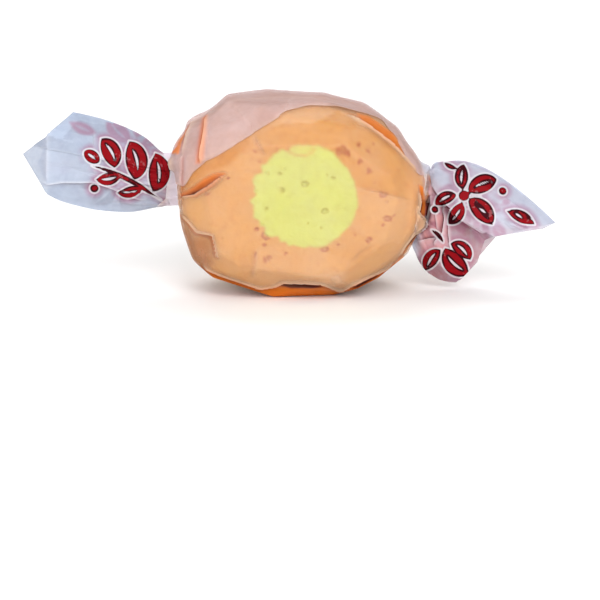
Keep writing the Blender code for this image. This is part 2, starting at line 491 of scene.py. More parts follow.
@dataclass
class Crumple:
    """Small flat facets of the paper, as a net of triangles with corners from -1 to 1 high."""

    spacing: float
    seed: int

    def spread(self, u: Array, v: Array) -> tuple[Array, Array, Array]:
        """Lays the net over a grid of the sheet.

        Args:
            u: The rows' places along the sheet, in millimetres and rising.
            v: The columns' places round the sheet, in millimetres and rising.

        Returns:
            The height, a tone from -1 to 1 and the closeness to a crease, for each grid point.
        """
        draw = np.random.default_rng(self.seed)
        low = np.array([u[0], v[0]]) - self.spacing
        high = np.array([u[-1], v[-1]]) + self.spacing
        count = int(np.prod((high - low) / self.spacing))
        places = low + draw.random((count, 2)) * (high - low)
        corners = [(low[0], low[1]), (high[0], low[1]), (high[0], high[1]), (low[0], high[1])]
        places = [Vector(p) for p in corners] + [Vector(p) for p in places]
        made = delaunay_2d_cdt(places, [], [], 0, 1e-5)
        net = np.array([tuple(p) for p in made[0]])
        heights = draw.uniform(-1.0, 1.0, len(net))
        height = np.zeros((len(u), len(v)))
        tone = np.zeros_like(height)
        crease = np.zeros_like(height)
        for face in made[2]:
            a, b, c = places = net[list(face)]
            (low_u, low_v), (high_u, high_v) = places.min(axis=0), places.max(axis=0)
            rows = slice(np.searchsorted(u, low_u), np.searchsorted(u, high_u, "right"))
            cols = slice(np.searchsorted(v, low_v), np.searchsorted(v, high_v, "right"))
            twice = (b[0] - a[0]) * (c[1] - a[1]) - (c[0] - a[0]) * (b[1] - a[1])
            shade = draw.uniform(-1, 1)
            if abs(twice) < 1e-6 or rows.start >= rows.stop or cols.start >= cols.stop:
                continue
            x = u[rows, None] - a[0]
            y = v[None, cols] - a[1]
            second = (x * (c[1] - a[1]) - y * (c[0] - a[0])) / twice
            third = (y * (b[0] - a[0]) - x * (b[1] - a[1])) / twice
            first = 1 - second - third
            inside = (first >= 0) & (second >= 0) & (third >= 0)
            level = first * heights[face[0]] + second * heights[face[1]]
            level = level + third * heights[face[2]]
            near = np.minimum(np.minimum(first, second), third) * math.sqrt(abs(twice))
            height[rows, cols][inside] = level[inside]
            tone[rows, cols][inside] = shade
            crease[rows, cols][inside] = bell(near[inside] / 0.22)
        return height, tone, crease


def evened(marks: Array) -> Array:
    """Evens out a mark between neighbouring grid points.

    Args:
        marks: The mark of each grid point, by row and column.

    Returns:
        The evened marks.
    """
    marks = marks.copy()
    marks[1:-1] = 0.5 * marks[1:-1] + 0.25 * (marks[:-2] + marks[2:])
    marks[:, 1:-1] = 0.5 * marks[:, 1:-1] + 0.25 * (marks[:, :-2] + marks[:, 2:])
    return marks


@dataclass(frozen=True)
class Lip:
    """A folded edge of the paper that stands up along a line.

    The line's points are millimetres on the picture plane of in_view. The paper is raised on
    the line's left as one goes along it, and hangs over on its right.
    """

    # Besides its shape, a lip paints a highlight along its raised side, and shade on its low side and
    # beyond.
    line: tuple
    height: float
    width: float
    overhang: float = 0.25
    glint: float = 1.0
    hollow: float = 0.0
    layer: Layer = Layer.FACE
    face: Face = Face.FRONT
    snap: float = 0.26
    low_width: float = 1.1
    depth: float = 1.5
    hollow_width: float = 0.55
    dusk: float = 0.0
    dusk_width: float = 2.4
    rim: float = 0.14

    def press(self, sheet: "Sheet") -> None:
        """Folds the edge into a sheet.

        Args:
            sheet: The sheet.
        """
        x, up = in_view(sheet.points, self.face)
        signed, to_x, to_up, place = trace(x, up, self.line)
        near = sheet.near(self.face, self.depth, self.layer)
        fade = smooth(place / 0.10) * smooth((1 - place) / 0.10) * near
        far = np.abs(signed)
        high = signed >= 0
        width = np.where(high, self.width, self.low_width)
        taut = np.maximum(far - self.snap, 0) * width / (width - self.snap)
        pulled = np.where(far < width, taut, far)
        inner = np.clip(1 - pulled / self.width, 0, 1)
        target = np.where(high, pulled - self.overhang * inner**2, -pulled)
        shift = (target - signed) * fade * (far < width)
        move = np.zeros_like(sheet.points)
        move[..., 0] = shift * to_x * -self.face.value
        move[..., 2] = shift * to_up
        off = np.sum(move * sheet.normals, axis=-1, keepdims=True)
        move -= off * sheet.normals
        rise = np.where(high, self.height * inner**1.5, 0.0) * fade
        sheet.points += move + sheet.normals * rise[..., None]
        # Painted highlight along the raised edge.
        bright = np.where(high, bell(pulled / self.rim), 0.0) * self.glint * fade
        sheet.crease = np.maximum(sheet.crease, bright)
        # Painted shade in the hollow on the low side.
        taper = self.hollow_width * (0.3 + 0.7 * np.sin(math.pi * np.clip(place, 0, 1)))
        dark = np.where(high, 0.0, bell(pulled / taper)) * self.hollow * fade
        sheet.hollow = np.maximum(sheet.hollow, dark)
        # Broader painted shade beyond the low side.
        dim = np.where(high, 0.0, bell(far / self.dusk_width)) * self.dusk * fade
        sheet.dusk = np.maximum(sheet.dusk, dim)


@dataclass(frozen=True)
class Patch:
    """A flat patch of the paper with its own tone, which is partly painted shade, pressed in a little
    if need be.
    """

    outline: tuple
    tone: float = 0.0
    depth: float = 0.0
    hollow: float = 0.0
    ember: float = 0.0
    edge: float = 0.09
    glint: float = 0.16
    layer: Layer = Layer.FACE
    face: Face = Face.FRONT
    reach: float = 1.5
    dusk: float = 0.0
    calm: float = 0.0

    def press(self, sheet: "Sheet") -> None:
        """Presses the patch into a sheet.

        Args:
            sheet: The sheet.
        """
        x, up = in_view(sheet.points, self.face)
        near = sheet.near(self.face, self.reach, self.layer)
        signed = depth_inside(x, up, self.outline)
        share = smooth(0.5 + signed / (2 * self.edge)) * near
        # Paints the tone, which is partly painted facet shade, painted shade in hollows, deep orange
        # that is partly painted bounce light, broader painted shade, and a painted highlight along
        # the edge.
        sheet.tone += (self.tone - sheet.tone) * share
        sheet.hollow = np.maximum(sheet.hollow, self.hollow * share)
        sheet.ember = np.maximum(sheet.ember, self.ember * share)
        sheet.dusk = np.maximum(sheet.dusk, self.dusk * share)
        sheet.crease *= 1 - self.calm * share
        fold = bell(signed / 0.13) * self.glint * near
        sheet.crease = np.maximum(sheet.crease, fold)
        sunk = smooth(signed / 0.5) * near * self.depth
        sheet.points -= sheet.normals * sunk[..., None]


@dataclass
class Sheet:
    """The grid of the paper while it is shaped, from the left rim to the right rim."""

    points: Array
    normals: Array
    angle: Array
    on_body: Array
    lap: Array
    far: Array
    # Marks that the finish reads: a painted highlight along folds, painted shade in hollows and below
    # folds, a tone that is partly painted facet shade, and deep orange that is partly painted bounce
    # light.
    crease: Array
    hollow: Array
    dusk: Array
    tone: Array
    ember: Array

    def cover(self, layer: Layer) -> Array:
        """How much each grid point belongs to a layer.

        Args:
            layer: The layer.

        Returns:
            Shares from 0 to 1.
        """
        if layer is Layer.FACE:
            return self.on_body * (1 - self.lap)
        if layer is Layer.LAP:
            return self.on_body * self.lap
        return np.ones_like(self.lap)

    def near(self, face: Face, reach: float, layer: Layer) -> Array:
        """How much each grid point belongs to a layer on one side of the candy.

        Args:
            face: The cut face on that side.
            reach: How far past the candy's middle the side goes on, in millimetres.
            layer: The layer.

        Returns:
            Shares from 0 to 1.
        """
        toward = self.points[..., 1] * face.value
        return smooth((reach + toward) / 1.2) * self.cover(layer)


@dataclass(frozen=True)
class Fold:
    """One fold of a twist: its column at the neck, and the middle and end of its curve."""

    column: int
    middle: tuple
    end: tuple


@dataclass
class Twist:
    """One open end of the paper past its neck, made of flat panels between folds."""

    neck: float
    folds: tuple
    collar: tuple
    angles: Array = field(init=False)
    starts: Array = field(init=False)

    def hang(self, paper: "PaperForm") -> None:
        """Fixes the folds to the neck.

        Args:
            paper: The paper over the candy, which gives the neck's ring.
        """
        columns = np.array([fold.column for fold in self.folds], dtype=float)
        self.angles = paper.column_angle(columns)
        self.starts = paper.over_candy(np.full(len(self.folds), self.neck), self.angles)

    def panel(self, angle: Array) -> tuple[Array, Array, Array]:
        """The panel that each angle falls on.

        Args:
            angle: The way round x, in radians.

        Returns:
            The fold before, the fold after, and the place between both from 0 to 1.
        """
        turn = angle % (2 * math.pi)
        after = np.searchsorted(self.angles, turn, "right") % len(self.folds)
        before = after - 1
        span = (self.angles[after] - self.angles[before]) % (2 * math.pi)
        return before, after, (turn - self.angles[before]) % (2 * math.pi) / span

    def points(self, paper: "PaperForm", share: Array, angle: Array) -> Array:
        """Points of the twist.

        Args:
            paper: The paper over the candy.
            share: How far from the neck, 0, to the rim, 1.
            angle: The way round x, in radians.

        Returns:
            The points, in millimetres.
        """
        before, after, part = self.panel(angle)
        part = part[..., None]
        middles = np.array([fold.middle for fold in self.folds])
        ends = np.array([fold.end for fold in self.folds])
        along = np.array(self.collar) * np.clip(share / COLLAR_SHARE, 0, 1)[..., None]
        s = np.clip((share - COLLAR_SHARE) / (1 - COLLAR_SHARE), 0, 1)[..., None]
        found = 0.0
        for which, weight in ((before, 1 - part), (after, part)):
            curve = (self.starts[which] + along) * (1 - s) ** 2 + middles[which] * (2 * s * (1 - s))
            found = found + weight * (curve + ends[which] * s**2)
        ring = paper.over_candy(np.full(angle.shape, self.neck), angle)
        chord = self.starts[before] * (1 - part) + self.starts[after] * part
        return found + (ring - chord) * (1 - s) ** 2


@dataclass
class PaperForm:
    """The large shape of the paper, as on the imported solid."""

    hull: TightHull
    left_turn: float = math.radians(5.6)
    right_turn: float = math.radians(9.5)
    left_neck: float = math.radians(12.8)
    right_neck: float = math.radians(16.5)
    neck_flatness: float = 0.55
    neck_ease: float = math.radians(11.5)
    columns: int = 60
    pleats: int = 12
    shortest: float = math.radians(16)
    longest: float = math.radians(52)
    ridge: int = 3
    tightness: float = 0.17
    fill: float = 1.1
    fill_ease: float = math.radians(9)

    def column_angle(self, column: Array) -> Array:
        """The angle round x of a column, with 0 at the front and a quarter turn at the top.

        Args:
            column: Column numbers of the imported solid.

        Returns:
            Angles in radians.
        """
        even = 2 * math.pi * column / self.columns
        return even + 0.09 * np.sin(even + 0.8) + 0.06 * np.sin(2 * even + 2.0)

    def pleat_list(self) -> list[tuple[float, float, float]]:
        """The angle, height and reach of each pleat.

        Returns:
            One row for each pleat.
        """
        draw = random.Random(SEED + 1)
        step = self.columns // self.pleats
        rows = []
        for i in range(self.pleats):
            height = draw.uniform(0.55, 1.0)
            reach = draw.uniform(self.shortest, self.longest)
            angle = float(self.column_angle(np.array(step * i + self.ridge, dtype=float)))
            rows.append((angle, height, reach))
        return rows

    def from_neck(self, polar: Array) -> Array:
        """How far a polar angle is past the neck of its own side.

        Args:
            polar: Angles from the right pole.

        Returns:
            Angles in radians.
        """
        neck = np.where(polar < math.pi / 2, self.right_neck, self.left_neck)
        return np.minimum(polar, math.pi - polar) - neck

    def flatten(self, points: Array, polar: Array) -> Array:
        """Flattens points towards the necks.

        Args:
            points: The points, in millimetres.
            polar: Their polar angles from the right pole.

        Returns:
            The flattened points.
        """
        ease = 1 - smooth(self.from_neck(polar) / self.neck_ease)
        flat = points.copy()
        flat[..., 1] *= 1 - self.neck_flatness * ease
        return flat

    def filled(self, points: Array) -> Array:
        """Presses the soft candy into the paper.

        Args:
            points: Points of the drum, in millimetres.

        Returns:
            The points moved out, to just under the paper.
        """
        reach = np.linalg.norm(points, axis=-1)
        direction = points / reach[..., None]
        turn = np.where(direction[..., 0] > 0, self.right_turn, self.left_turn)
        axis = direction[..., 0] * np.cos(turn) - direction[..., 2] * np.sin(turn)
        polar = np.arccos(np.clip(axis, -1, 1))
        room = self.hull.reach(direction) - self.tightness - reach
        out = np.clip(room, 0, self.fill) * smooth(self.from_neck(polar) / self.fill_ease)
        return self.flatten(direction * (reach + out)[..., None], polar)

    def over_candy(self, polar: Array, angle: Array) -> Array:
        """Points of the paper over the candy.

        Args:
            polar: Angles from the right pole of the axis through the necks.
            angle: Angles round that axis.

        Returns:
            The points, in millimetres.
        """
        turn = self.right_turn + (self.left_turn - self.right_turn) * smooth(polar / math.pi)
        zero = np.zeros_like(turn)
        axis = np.stack([np.cos(turn), zero, -np.sin(turn)], axis=-1)
        up = np.stack([np.sin(turn), zero, np.cos(turn)], axis=-1)
        front = np.array([0.0, -1.0, 0.0])
        side = np.cos(angle)[..., None] * front + np.sin(angle)[..., None] * up
        direction = axis * np.cos(polar)[..., None] + side * np.sin(polar)[..., None]
        return self.flatten(direction * self.hull.reach(direction)[..., None], polar)


@dataclass(frozen=True)
class Stroke:
    """One printed stroke: a path that bends evenly, and swells and tapers."""

    along: float
    across: float
    heading: float
    length: float
    bend: float
    width: float
    cut: bool = False
    point: float = 0.75

    def discs(self) -> Array:
        """The stroke as a row of discs.

        Returns:
            The place along, the place across and the radius of each disc.
        """
        t = np.linspace(0, 1, 36)
        turned = np.radians(self.heading + self.bend * t)
        step = self.length / (len(t) - 1)
        x = self.along + np.concatenate([[0], np.cumsum(np.cos(turned[:-1])) * step])
        y = self.across + np.concatenate([[0], np.cumsum(np.sin(turned[:-1])) * step])
        swell = np.sin(math.pi * t) ** self.point
        return np.stack([x, y, self.width / 2 * swell], axis=-1)


@dataclass(frozen=True)
class Motif:
    """Printed strokes with one place and turn on the picture plane of a cut face."""

    strokes: tuple
    x: float
    up: float
    turn: float = 0.0
    size: float = 1.0
    face: Face = Face.FRONT

    def gap(self, points: Array, slip: Array) -> Array:
        """How far points are outside the ink.

        Args:
            points: Points in millimetres.
            slip: How far the print has moved up on each point's panel.

        Returns:
            Distances in millimetres, below 0 in the ink.
        """
        x, up = in_view(points, self.face)
        turn = math.radians(self.turn)
        right = (x - self.x) / self.size
        high = (up - slip - self.up) / self.size
        along = right * math.cos(turn) + high * math.sin(turn)
        across = high * math.cos(turn) - right * math.sin(turn)
        inked = np.full(x.shape, NOWHERE_NEAR)
        bare = np.full(x.shape, NOWHERE_NEAR)
        for stroke in self.strokes:
            best = np.full(x.shape, NOWHERE_NEAR)
            for disc in stroke.discs():
                best = np.minimum(best, np.hypot(along - disc[0], across - disc[1]) - disc[2])
            if stroke.cut:
                bare = np.minimum(bare, best)
            else:
                inked = np.minimum(inked, best)
        near = points[..., 1] * self.face.value > (-0.25 if self.face is Face.FRONT else 0.5)
        return np.where(near, np.maximum(inked, -bare) * self.size, NOWHERE_NEAR)


class Board:
    """The node tree of one material, with short calls for its nodes."""

    def __init__(self, name: str) -> None:
        """Starts a material.

        Args:
            name: The material's name.
        """
        self.material = bpy.data.materials.new(name)
        self.material.use_nodes = True
        self.tree = self.material.node_tree
        self.tree.nodes.clear()

    def node(self, kind: str, **inputs: object) -> bpy.types.Node:
        """Adds a node.

        Args:
            kind: The node's type.
            inputs: Values or sockets for its inputs, with underscores for spaces.

        Returns:
            The node.
        """
        made = self.tree.nodes.new(kind)
        for name, value in inputs.items():
            self.feed(made.inputs[name.replace("_", " ")], value)
        return made

    def feed(self, socket: bpy.types.NodeSocket, value: object) -> None:
        """Gives an input a value or a link.

        Args:
            socket: The input.
            value: A number, a colour or another node's output.
        """
        if isinstance(value, bpy.types.NodeSocket):
            self.tree.links.new(value, socket)
        elif isinstance(value, tuple) and len(value) == 3 and socket.type == "RGBA":
            socket.default_value = (*value, 1.0)
        else:
            socket.default_value = value

    def attribute(self, name: str) -> bpy.types.NodeSocket:
        """Reads a number that the mesh holds.

        Args:
            name: The attribute's name.

        Returns:
            The number's output.
        """
        made = self.node("ShaderNodeAttribute")
        made.attribute_name = name
        return made.outputs["Fac"]

    def maths(self, operation: str, first: object, second: object = 0.0) -> bpy.types.NodeSocket:
        """One sum.

        Args:
            operation: The operation's name.
            first: The first number.
            second: The second number.

        Returns:
            The result's output.
        """
        made = self.tree.nodes.new("ShaderNodeMath")
        made.operation = operation
        self.feed(made.inputs[0], first)
        self.feed(made.inputs[1], second)
        return made.outputs[0]

    def ramp(self, value: object, low: float, high: float, start: float = 0.0,
             end: float = 1.0) -> bpy.types.NodeSocket:
        """Maps a range of numbers to another one, with eased ends.

        Args:
            value: The number.
            low: The range's first end.
            high: The range's other end.
            start: What the first end becomes.
            end: What the other end becomes.

        Returns:
            The result's output.
        """
        made = self.node(
            "ShaderNodeMapRange", Value=value, From_Min=low, From_Max=high, To_Min=start, To_Max=end
        )
        made.interpolation_type = "SMOOTHSTEP"
        return made.outputs["Result"]

    def mix(self, share: object, first: object, second: object) -> bpy.types.NodeSocket:
        """Mixes two colours.

        Args:
            share: How much of the second.
            first: The first colour.
            second: The second colour.

        Returns:
            The colour's output.
        """
        made = self.tree.nodes.new("ShaderNodeMix")
        made.data_type = "RGBA"
        made.clamp_factor = True
        self.feed(made.inputs[0], share)
        self.feed(made.inputs[6], first)
        self.feed(made.inputs[7], second)
        return made.outputs[2]

    def noise(self, scale: float, detail: float = 3.0, rough: float = 0.5,
              warp: float = 0.0) -> bpy.types.NodeSocket:
        """Cloudy variation over a piece.

        Args:
            scale: The noise's scale, for metres.
            detail: How many finer layers it has.
            rough: How strong they are.
            warp: How far it is bent by itself.

        Returns:
            A number's output.
        """
        place = self.node("ShaderNodeTexCoord").outputs["Object"]
        made = self.node(
            "ShaderNodeTexNoise", Vector=place, Scale=scale, Detail=detail, Roughness=rough,
            Distortion=warp,
        )
        return made.outputs["Fac"]

    def bump(self, height: object, distance: float, strength: float = 1.0,
             under: object = None) -> bpy.types.NodeSocket:
        """Fine relief.

        Args:
            height: The relief's height, from 0 to 1.
            distance: What a height of 1 is, in metres.
            strength: How strong it is.
            under: Another relief below it.

        Returns:
            The normal's output.
        """
        made = self.node("ShaderNodeBump", Height=height, Distance=distance, Strength=strength)
        if under is not None:
            self.feed(made.inputs["Normal"], under)
        return made.outputs["Normal"]

    def finish(self, shader: bpy.types.NodeSocket) -> bpy.types.Material:
        """Shows a shader.

        Args:
            shader: The shader's output.

        Returns:
            The material.
        """
        self.node("ShaderNodeOutputMaterial", Surface=shader)
        return self.material


@dataclass(frozen=True)
class PulledCandy:
    """Soft satin pulled candy with fine air bubbles, in one flavour's colour."""

    name: str
    colour: tuple
    deep: tuple
    pale: tuple
    pit: tuple
    blend: tuple
    glow: float = 0.0009

    def material(self) -> bpy.types.Material:
        """Builds the finish.

        Returns:
            The material.
        """
        board = Board(self.name)
        clouds = board.ramp(board.noise(170, 3, 0.55, 0.6), 0.35, 0.65)
        grain = board.noise(1500, 2, 0.6)
        colour = board.mix(board.maths("MULTIPLY", clouds, 0.45), self.colour, self.pale)
        colour = board.mix(board.ramp(grain, 0.45, 0.75, 0, 0.22), colour, self.deep)
        place = board.node("ShaderNodeTexCoord").outputs["Object"]
        cells = board.node("ShaderNodeTexVoronoi", Vector=place, Scale=430.0)
        specks = board.ramp(cells.outputs["Distance"], 0.16, 0.05)
        speck_mask = board.ramp(board.noise(240, 1), 0.50, 0.62)
        specks = board.maths("MULTIPLY", specks, speck_mask)
        colour = board.mix(board.maths("MULTIPLY", specks, 0.5), colour, self.deep)
        for mark, tint in (("pit", self.pit), ("blend", self.blend)):
            colour = board.mix(board.attribute(mark), colour, tint)
        relief = board.bump(board.noise(420, 3, 0.6), 0.00025, 0.5)
        relief = board.bump(board.maths("SUBTRACT", 1.0, specks), 0.00012, 0.6, relief)
        gloss = board.ramp(clouds, 0.0, 1.0, 0.36, 0.50)
        shader = board.node(
            "ShaderNodeBsdfPrincipled", Base_Color=colour, Roughness=gloss, Normal=relief, IOR=1.5,
            Subsurface_Weight=0.35, Subsurface_Radius=(1.0, 0.5, 0.2), Subsurface_Scale=self.glow,
        )
        return board.finish(shader.outputs[0])


@dataclass(frozen=True)
class WaxedPaper:
    """Translucent waxed paper with a crimson print, milky where it stands off the candy."""

    pale: tuple = (0.585, 0.68, 0.825)
    # The darker copies below give the paper's random tone and painted shade on facets and panels
    # turned from the light.
    pale_deep_and_shaded: tuple = (0.41, 0.47, 0.575)
    film: tuple = (0.80, 0.60, 0.41)
    film_deep_and_shaded: tuple = (0.66, 0.37, 0.14)
    film_lemon: tuple = (0.64, 0.62, 0.28)
    warm: tuple = (0.78, 0.60, 0.60)
    warm_deep_and_shaded: tuple = (0.69, 0.50, 0.49)
    band: tuple = (0.92, 0.87, 0.95)
    # White is the pale mottle, the halo round the print and the painted highlight along folds on the
    # twists; cream paints that highlight on the body.
    white: tuple = (0.86, 0.85, 0.88)
    cream_glint: tuple = (0.86, 0.69, 0.52)
    blush: tuple = (1.0, 0.50, 0.48)
    blush_deep_and_shaded: tuple = (0.46, 0.19, 0.21)
    peach: tuple = (0.90, 0.56, 0.29)
    # Deep orange where the paper clings, which is also the painted bounce light in folds and under
    # the bottom edge.
    ember: tuple = (0.96, 0.28, 0.018)
    # Painted shade colours: in hollows on the body, a near-black shadow in the deepest gaps, brown
    # beyond the low side of folds, and in hollows on the twists.
    crevice_shade: tuple = (0.42, 0.065, 0.004)
    pit: tuple = (0.06, 0.002, 0.000)
    shade_brown: tuple = (0.42, 0.120, 0.026)
    shade: tuple = (0.17, 0.018, 0.035)
    crimson: tuple = (0.31, 0.003, 0.008)
    maroon: tuple = (0.050, 0.001, 0.005)
    ghost: tuple = (0.48, 0.18, 0.31)
    through: float = 0.35

    def material(self) -> bpy.types.Material:
        """Builds the finish.

        Returns:
            The material.
        """
        board = Board("waxed_paper")
        crease = board.attribute("crease")
        ink = board.attribute("ink")
        hollow = board.attribute("hollow")
        warmth = board.attribute("warm")
        band = board.attribute("band")
        mottle = board.noise(260, 4, 0.62, 0.3)
        fibre = board.noise(2600, 2, 0.7)
        # Tone mixes in darker copies of each colour: the paper's random tone, and painted shade on
        # facets and panels turned from the light.
        tone = board.attribute("tone")
        film = board.mix(tone, self.film, self.film_deep_and_shaded)
        film = board.mix(board.attribute("lemon"), film, self.film_lemon)
        film = board.mix(board.attribute("peach"), film, self.peach)
        outer = board.mix(tone, self.warm, self.warm_deep_and_shaded)
        body = board.mix(board.attribute("lap"), film, outer)
        colour = board.mix(warmth, board.mix(tone, self.pale, self.pale_deep_and_shaded), body)
        colour = board.mix(band, colour, self.band)
        # Painted shade beyond the low side of folds, browning the colour.
        dusk = board.attribute("dusk")
        colour = board.mix(board.maths("MULTIPLY", dusk, 0.8), colour, self.shade_brown)
        colour = board.mix(board.ramp(mottle, 0.3, 0.7, 0.0, 0.14), colour, self.white)
        rosy = board.ramp(board.noise(420, 3, 0.6, 0.5), 0.3, 0.7, 0.55, 1.0)
        rosy = board.maths("MULTIPLY", board.attribute("blush"), rosy)
        colour = board.mix(rosy, colour, board.mix(tone, self.blush, self.blush_deep_and_shaded))
        faint = board.ramp(board.attribute("ghost"), 0.3, -0.2, 0.0, 0.55)
        aura = board.ramp(ink, 1.0, 0.1, 0.0, 0.68)
        aura = board.maths("MULTIPLY", aura, board.ramp(board.noise(330, 2), 0.30, 0.54))
        aura = board.maths("MULTIPLY", aura, board.ramp(band, 0.3, 0.8, 1.0, 0.1))
        colour = board.mix(board.maths("MAXIMUM", faint, aura), colour, self.ghost)
        # Deep orange: the candy's colour where the paper clings, and painted light bounced between
        # orange folds and under the bottom edge.
        ember = board.attribute("ember")
        colour = board.mix(ember, colour, self.ember)
        # Painted shade in hollows: orange-brown on the body, crimson-brown on the twists, and a
        # near-black painted shadow at the deepest.
        colour = board.mix(hollow, colour, board.mix(warmth, self.shade, self.crevice_shade))
        colour = board.mix(board.ramp(hollow, 0.80, 1.0), colour, self.pit)
        # Painted highlight along folds and raw edges: cream on the body, white on the twists and the
        # collar.
        edge = board.mix(warmth, self.white, self.cream_glint)
        edge = board.mix(band, edge, self.white)
        colour = board.mix(board.maths("MULTIPLY", crease, 0.8), colour, edge)
        halo = board.ramp(ink, 0.26, 0.13)
        colour = board.mix(board.maths("MULTIPLY", halo, 0.85), colour, self.white)
        inked = board.ramp(ink, 0.03, -0.03)
        outline = board.ramp(board.noise(520, 1), 0.36, 0.62, -0.04, -0.22)
        filled = board.ramp(board.maths("SUBTRACT", ink, outline), 0.03, -0.05)
        worn = board.ramp(board.noise(1300, 3, 0.6), 0.30, 0.40, 0.90, 1.0)
        printed = board.mix(filled, self.maroon, self.crimson)
        colour = board.mix(board.maths("MULTIPLY", inked, worn), colour, printed)
        cloud = board.ramp(mottle, 0.3, 0.7, 0.90, 1.10)
        veil = board.maths("MULTIPLY", board.attribute("veil"), cloud)
        for mark, weight in ((crease, 0.25), (hollow, 0.60), (dusk, 0.35), (ember, 0.55)):
            veil = board.maths("ADD", veil, board.maths("MULTIPLY", mark, weight))
        veil = board.maths("MAXIMUM", veil, board.maths("MULTIPLY", inked, 0.97))
        veil = board.maths("MINIMUM", veil, 1.0)
        relief = board.bump(fibre, 0.00002, 0.35)
        relief = board.bump(mottle, 0.00012, 0.35, relief)
        paper = board.node(
            "ShaderNodeBsdfPrincipled", Base_Color=colour, Normal=relief, IOR=1.45,
            Roughness=board.ramp(hollow, 0.0, 0.6, 0.50, 0.95), Specular_IOR_Level=0.09,
        )
        lit = board.node("ShaderNodeBsdfTranslucent", Color=colour)
        sheet = board.tree.nodes.new("ShaderNodeMixShader")
        sheet.inputs[0].default_value = self.through
        board.feed(sheet.inputs[1], paper.outputs[0])
        board.feed(sheet.inputs[2], lit.outputs[0])
        clear = board.node("ShaderNodeBsdfTransparent")
        shown = board.tree.nodes.new("ShaderNodeMixShader")
        board.feed(shown.inputs[0], veil)
        board.feed(shown.inputs[1], clear.outputs[0])
        board.feed(shown.inputs[2], sheet.outputs[0])
        return board.finish(shown.outputs[0])


def set_numbers(mesh: bpy.types.Mesh, name: str, values: Array) -> None:
    """Stores one number for each vertex.

    Args:
        mesh: The mesh.
        name: The attribute's name.
        values: The numbers.
    """
    made = mesh.attributes.new(name, "FLOAT", "POINT")
    made.data.foreach_set("value", np.ascontiguousarray(values, dtype=np.float32).ravel())


def place_vertices(mesh: bpy.types.Mesh, points: Array, rise: float) -> None:
    """Moves the vertices of a mesh.

    Args:
        mesh: The mesh.
        points: The new places, in millimetres from the candy's middle.
        rise: The height of the candy's middle.
    """
    placed = points.reshape(-1, 3) + np.array([0.0, 0.0, rise])
    mesh.vertices.foreach_set("co", (placed * METRES).astype(np.float32).ravel())
    mesh.update()


def vertex_places(mesh: bpy.types.Mesh) -> Array:
    """The vertices of a mesh.

    Args:
        mesh: The mesh.

    Returns:
        One row of coordinates for each vertex.
    """
    places = np.zeros(len(mesh.vertices) * 3, dtype=np.float32)
    mesh.vertices.foreach_get("co", places)
    return places.reshape(-1, 3).astype(float)


@dataclass
class Bubbles:
    """Air bubbles that break the cut faces of the candy."""

    places: Array
    radii: Array
    depth: float

    @classmethod
    def scattered(cls, seed: int, count: int, sizes: tuple, spread: tuple,
                  middle: tuple, depth: float) -> "Bubbles":
        """Draws bubbles over an elliptic patch.

        Args:
            seed: The draw's seed.
            count: How many bubbles there are.
            sizes: The smallest and the largest radius.
            spread: The patch's half width and half height.
            middle: The patch's middle.
            depth: How deep a pit is, as a share of its radius.

        Returns:
            The bubbles.
        """
        draw = np.random.default_rng(seed)
        turn = draw.uniform(0, 2 * math.pi, count)
        far = np.sqrt(draw.uniform(0.0, 1.0, count))
        x = middle[0] + spread[0] * far * np.cos(turn)
        z = middle[1] + spread[1] * far * np.sin(turn)
        low, high = sizes
        radii = low + (high - low) * draw.random(count) ** 3
        return cls(np.stack([x, z], axis=-1), radii, depth)

    def add(self, bubbles: tuple) -> None:
        """Adds bubbles at set places.

        Args:
            bubbles: The place to the right, the place up and the radius of each.
        """
        placed = np.array(bubbles)
        self.places = np.concatenate([self.places, placed[:, :2]])
        self.radii = np.concatenate([self.radii, placed[:, 2]])

    def pits(self, x: Array, z: Array) -> tuple[Array, Array]:
        """How the bubbles change a face.

        Args:
            x: Places to the right on the face.
            z: Places up.

        Returns:
            The depth of the pits in millimetres, and how deep their colour is.
        """
        sunk = np.zeros(x.shape)
        tone = np.zeros(x.shape)
        for (at_x, at_z), radius in zip(self.places, self.radii):
            turn = np.arctan2(z - at_z, x - at_x)
            wobble = 1 + 0.14 * np.sin(2 * turn + 31 * radius) + 0.07 * np.sin(5 * turn + 9 * at_x)
            near = np.hypot(x - at_x, z - at_z) / (radius * wobble)
            sunk = np.maximum(sunk, self.depth * radius * (1 - smooth(near)))
            spot = 1 - smooth((near - 0.85) / 0.3)
            ring = 0.45 + 0.55 * bell((near - 0.70) / 0.35)
            tone = np.maximum(tone, spot * (ring if radius > 0.35 else 1.0))
        return sunk, tone


